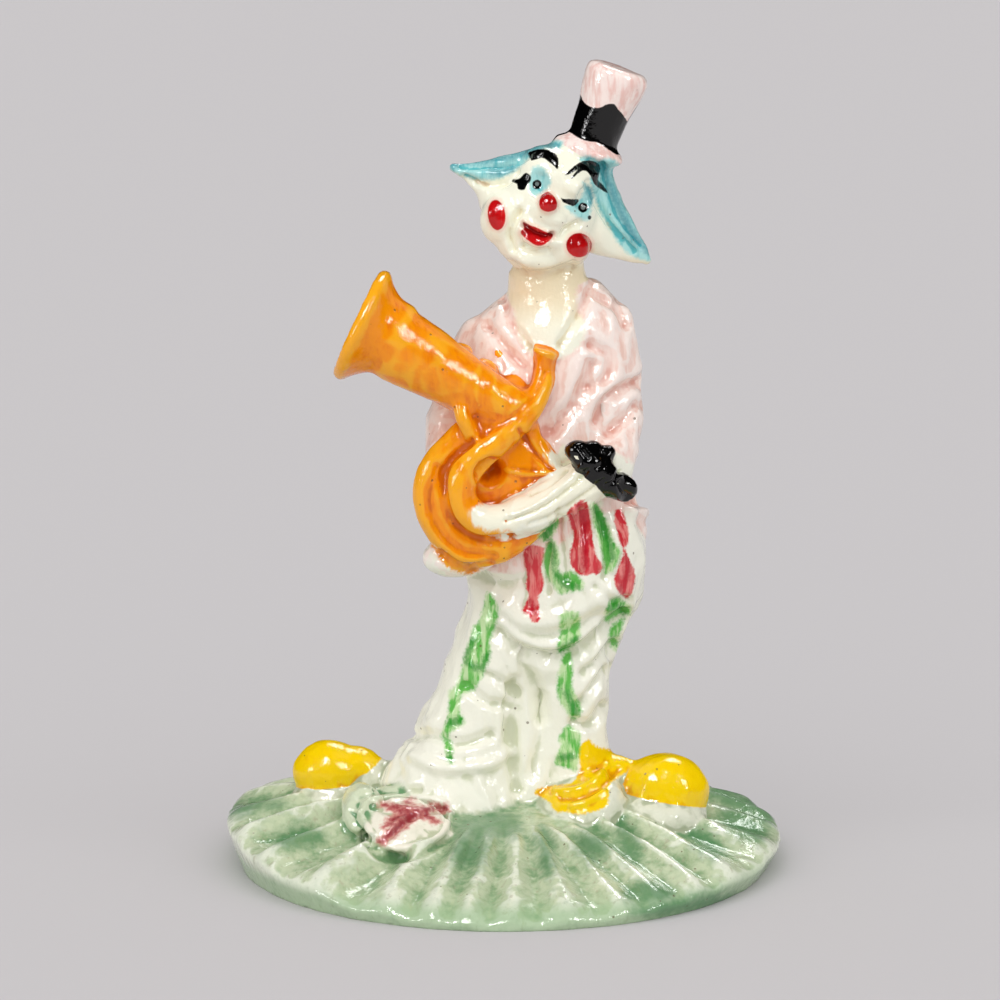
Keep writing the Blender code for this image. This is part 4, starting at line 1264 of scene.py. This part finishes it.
level = board.node("ShaderNodeSeparateXYZ", None, spot, out="Z")
groove = field("crease")
fold = field("fold")
hollows = groove.most(0.0) + 0.5 * fold.most(0.0)
ridges = (-groove).most(0.0) + 0.4 * (-fold).most(0.0)
streaks = cloud(800, 4, (1, 1, 0.16), (0.3, 0.5, 0))
blotches = cloud(170, 4)
mottle = cloud(600, 3)
fine = cloud(1500, 3)
wet = 0.5 * blotches + 0.5 * mottle

# Cream on the head and neck, a cooler white on the trousers and hands, both darkened in the creases
# as painted shade.
cream = wash((250, 250, 229), (240, 231, 196), wet + hollows * 0.3 - 0.66, 0.5)
# Painted shadow: the top of the neck, under the chin, is darkened to a deeper cream.
cream = over(cream, ink(240, 222, 184), level.step(0.121, 0.130) * level.step(0.139, 0.134) * 0.8)
white = wash((246, 246, 230), (216, 220, 192), wet + hollows * 0.3 - 0.68, 0.7)
colour = over(white, cream, level.step(0.112, 0.124))
# Painted shade: a mottled brown in the creases of the head and neck.
crease_shade = (hollows * 0.4 + mottle - 1.0).step(0, 0.8) * level.step(0.112, 0.124) * 0.7
colour = over(colour, ink(206, 176, 136), crease_shade)

# The green of the base pools in the valleys, darkened there further as painted shade, and its
# ridges are lightened as a painted highlight.
valleys = 0.2 * groove.most(0.0) + 0.6 * fold.most(0.0)
green_base = wash((196, 208, 174), (138, 168, 124), wet * 1.3 + valleys * 0.4 - 0.54, 0.6)
green_base = over(green_base, ink(98, 144, 96), (valleys * 0.6 + wet - 0.70).step(0, 0.8) * 0.8)
# Painted highlight: the ridges of the base, broken up by mottling, are lightened nearly to white.
ridge_highlight = (ridges * 0.45 + mottle * 0.9 - 0.72).step(0, 0.5) * 0.85
green_base = over(green_base, ink(234, 238, 220), ridge_highlight)
green_base = over(green_base, ink(168, 164, 138), (streaks - 0.56).step(0, 0.16) * 0.5)
green_base = over(green_base, ink(150, 184, 138), level.step(0.0065, 0.003) * 0.7)
pools = (field("pool") + (wet - 0.5) * 26).step(-11, 9) * 0.8
green_base = over(green_base, ink(74, 130, 82), pools)
colour = over(colour, green_base, edge("ground", 6, 14, 400))
# The soles, petals and leaf vary at random and darken in their hollows as painted shade.
sole = wash((226, 228, 208), (178, 186, 156), wet * 1.4 + hollows * 0.4 - 0.6, 0.6)
colour = over(colour, sole, edge("soles", 2, 3))
petal = wash((240, 236, 218), (190, 196, 164), wet * 1.2 + hollows * 0.5 - 0.6, 0.7)
colour = over(colour, petal, edge("petals", 3, 5))
leaf = wash((210, 220, 190), (112, 156, 112), wet * 1.2 + hollows * 0.5 - 0.6, 0.7)
colour = over(colour, leaf, edge("leaf", 3, 5))

pink = wash((250, 226, 215), (238, 200, 185), streaks + blotches * 0.8 - 0.75, 0.4)
# Painted shade: the pink deepens to a brownish pink in the folds.
pink = over(pink, ink(224, 156, 138), (hollows * 0.4 + mottle * 0.8 - 0.7).step(0, 1.0) * 0.8)
# Painted highlight: the ridges of the coat are lightened almost to white.
pink = over(pink, ink(252, 242, 234), (ridges * 0.6 + mottle * 0.6 - 0.56).step(0, 0.5) * 0.7)
colour = over(colour, pink, edge("coat", 1.5, 3))
colour = over(colour, pink, edge("hand", 1, 6) * (blotches - 0.40).step(0, 0.1) * 0.8)

orange = wash((248, 148, 0), (230, 108, 0), streaks * 0.8 + blotches * 0.7 - 0.68, 0.4)
# Painted shade darkens the orange to brown in the hollows of the coil, and a painted highlight
# lightens it on the ridges.
orange = over(orange, ink(202, 92, 0), (hollows * 0.4 + mottle * 0.5 - 0.42).step(0, 0.9) * 0.9)
orange = over(orange, ink(252, 182, 34), (ridges * 0.6 + streaks * 0.6 - 0.68).step(0, 0.6) * 0.7)
colour = over(colour, orange, edge("horn", 1, 2))
bare = (field("white over orange") + (streaks - 0.5) * 14 - hollows * 3).step(-3, 3)
# The white of the forearm darkens in its hollows as painted shade.
cuff = wash((246, 244, 222), (226, 222, 190), wet + hollows * 0.3 - 0.6, 0.6)
colour = over(colour, cuff, bare)
colour = over(colour, over(orange, ink(240, 170, 60), 0.3), edge("orange daubs", 2, 10))

hat_pink = wash((253, 236, 228), (240, 200, 190), streaks + blotches * 0.5 - 0.62, 0.3)
colour = over(colour, hat_pink, edge("hat", 1, 1.5, shift=3))
# The turquoise deepens in the hollows as painted shade.
blue = wash((176, 228, 224), (96, 190, 194), streaks * 1.2 + hollows * 0.3 - 0.5, 0.5)
blue = over(blue, ink(26, 130, 146), edge("blue deep", 5, 7) * 0.75)
colour = over(colour, blue, edge("blue", 2.5, 5))

# The yellow darkens in the hollows of the shoes as painted shade, and in ochre smears at random.
yellow = wash((248, 208, 0), (234, 168, 0), wet * 1.2 + hollows * 0.3 - 0.6, 0.5)
yellow = over(yellow, ink(214, 150, 2), (hollows * 0.25 + mottle - 0.80).step(0, 0.8))
colour = over(colour, yellow, edge("toes", 0.8, 2).most(edge("yellow", 1.5, 5)))

# The red stripes deepen in the hollows as painted shade.
rose = wash((236, 140, 134), (212, 50, 60), streaks * 1.6 + hollows * 0.3 - 0.62, 0.4)
rose = over(rose, ink(184, 10, 36), edge("rose deep", 3, 6) * 0.8)
colour = over(colour, rose, edge("rose", 1.2, 4))
# The green stripes deepen in the hollows as painted shade.
green = wash((200, 230, 172), (104, 188, 84), streaks * 1.6 + hollows * 0.3 - 0.62, 0.4)
green = over(green, ink(24, 138, 38), edge("green deep", 3, 7) * 0.75)
colour = over(colour, green, edge("leaf green", 2.5, 6))
bled = field("crimson") + (mottle - 0.5) * 12
crimson = over(ink(210, 132, 124), ink(152, 20, 44), bled.step(-1, 5))
colour = over(colour, crimson, bled.step(-4, 2) * 0.95)

halo = ink(240, 180, 160)
colour = over(colour, halo, (field("red") + (mottle - 0.5) * 3).step(-5, 0) * 0.5)
# The red of the face deepens in its hollows as painted shade.
red = wash((206, 16, 20), (150, 2, 4), blotches * 1.2 + hollows * 0.5 - 0.4, 0.5)
red = over(red, ink(228, 84, 74), (streaks - 0.60).step(0, 0.1) * 0.5)
colour = over(colour, red, edge("red", 0.6, 0.8))
thin_black = (streaks - 0.58).step(0, 0.1) * edge("head", 1, 1) * (1 - edge("hat", 1, 1))
black = over(ink(4, 4, 4), ink(92, 100, 92), thin_black * 0.7)
colour = over(colour, black, edge("black", 0.6, 1.5).most(edge("glove", 0.6, 1)))
colour = over(colour, ink(120, 130, 128), edge("pupil", 0.6, 0.5))

# Dark grains of the clay show through, and pinholes break the surface.
grain = board.node("ShaderNodeTexVoronoi", None, spot, Scale=SPECKS, out="Distance")
lot = board.node("ShaderNodeTexVoronoi", None, spot, Scale=SPECKS, out="Color")
lot = board.node("ShaderNodeSeparateXYZ", None, lot, out="X")
specks = 1 - (grain - (lot - 0.5).most(0.0) * 0.26).step(-0.03, 0.02)
colour = over(colour, ink(96, 74, 44), specks * 0.65)

gloss = 0.06 + 0.1 * blotches
relief = streaks * 0.35 + mottle * 0.5 + fine * 0.15 - specks * 0.4
bump = board.node("ShaderNodeBump", None, 0.55, 0.0005, Height=relief)
shader = board.node("ShaderNodeBsdfPrincipled", None, colour, 0.0, gloss, GLAZE_IOR, Normal=bump)
end = glaze.node_tree.nodes.new("ShaderNodeOutputMaterial")
glaze.node_tree.links.new(shader.socket, end.inputs["Surface"])

clown.data.materials.clear()
clown.data.materials.append(glaze)
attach(clown, "root")
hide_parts("clown_figurine")

# The floor is a plain pale sheet that runs far behind the figurine, under an even sky.
# Broad lamps shape it softly, and small soft boxes give the glaze its crisp highlights.
FLOOR_REACH = 6
LAMP_AIM = Vector((0, 0, 0.09))
SKY = ink(204, 202, 203)
floor_mesh = bpy.data.meshes.new("floor")
corners = [(x * FLOOR_REACH, y * FLOOR_REACH, 0) for x, y in ((-1, -1), (1, -1), (1, 1), (-1, 1))]
floor_mesh.from_pydata(corners, [], [(0, 1, 2, 3)])
floor = put(floor_mesh, "floor")
pale = bpy.data.materials.new("pale_floor")
pale.use_nodes = True
pale_shader = pale.node_tree.nodes["Principled BSDF"]
pale_shader.inputs["Base Color"].default_value = (0.585, 0.572, 0.578, 1)
pale_shader.inputs["Roughness"].default_value = 1.0
pale_shader.inputs["Specular IOR Level"].default_value = 0.0
floor_mesh.materials.append(pale)

scene = bpy.context.scene
scene.view_settings.view_transform = "Standard"
scene.world = bpy.data.worlds.new("studio")
scene.world.use_nodes = True
scene.world.node_tree.nodes["Background"].inputs["Color"].default_value = SKY
scene.world.cycles_visibility.glossy = False


def lamp(name, kind, where, strength, size):
    """A lamp that faces the figurine: a sun sized in radians, or a soft box sized in metres."""
    light = bpy.data.lights.new(name, kind)
    light.energy = strength
    if kind == "SUN":
        light.angle = size
    else:
        light.shape = "RECTANGLE"
        light.size, light.size_y = size
    obj = bpy.data.objects.new(name, light)
    scene.collection.objects.link(obj)
    obj.location = where
    obj.rotation_mode = "QUATERNION"
    obj.rotation_quaternion = (Vector(where) - LAMP_AIM).to_track_quat("Z", "Y")
    obj.visible_glossy = kind == "AREA"
    obj.visible_diffuse = kind == "SUN"


lamp("key", "SUN", (-0.7, -1.2, 1.0), 1.0, 1.2)
lamp("fill", "SUN", (1.0, -1.1, 0.8), 0.6, 1.2)
lamp("crown", "SUN", (0.1, -0.3, 1.5), 0.5, 1.5)
lamp("window", "AREA", (-0.45, -1.0, 1.2), 22, (0.35, 0.5))
lamp("side window", "AREA", (1.0, -0.9, 0.85), 8, (0.16, 0.5))
lamp("low window", "AREA", (-1.3, -0.8, 0.5), 6, (0.3, 0.4))
lamp("back window", "AREA", (0.3, 0.9, 1.3), 8, (0.5, 0.4))

camera = bpy.data.cameras.new("camera")
camera.lens = LENS
camera.sensor_width = SENSOR
camera_obj = bpy.data.objects.new("camera", camera)
scene.collection.objects.link(camera_obj)
camera_obj.location = eye("front")[0]
camera_obj.rotation_mode = "QUATERNION"
camera_obj.rotation_quaternion = Vector(eye("front")[3]).to_track_quat("Z", "Y")
scene.camera = camera_obj
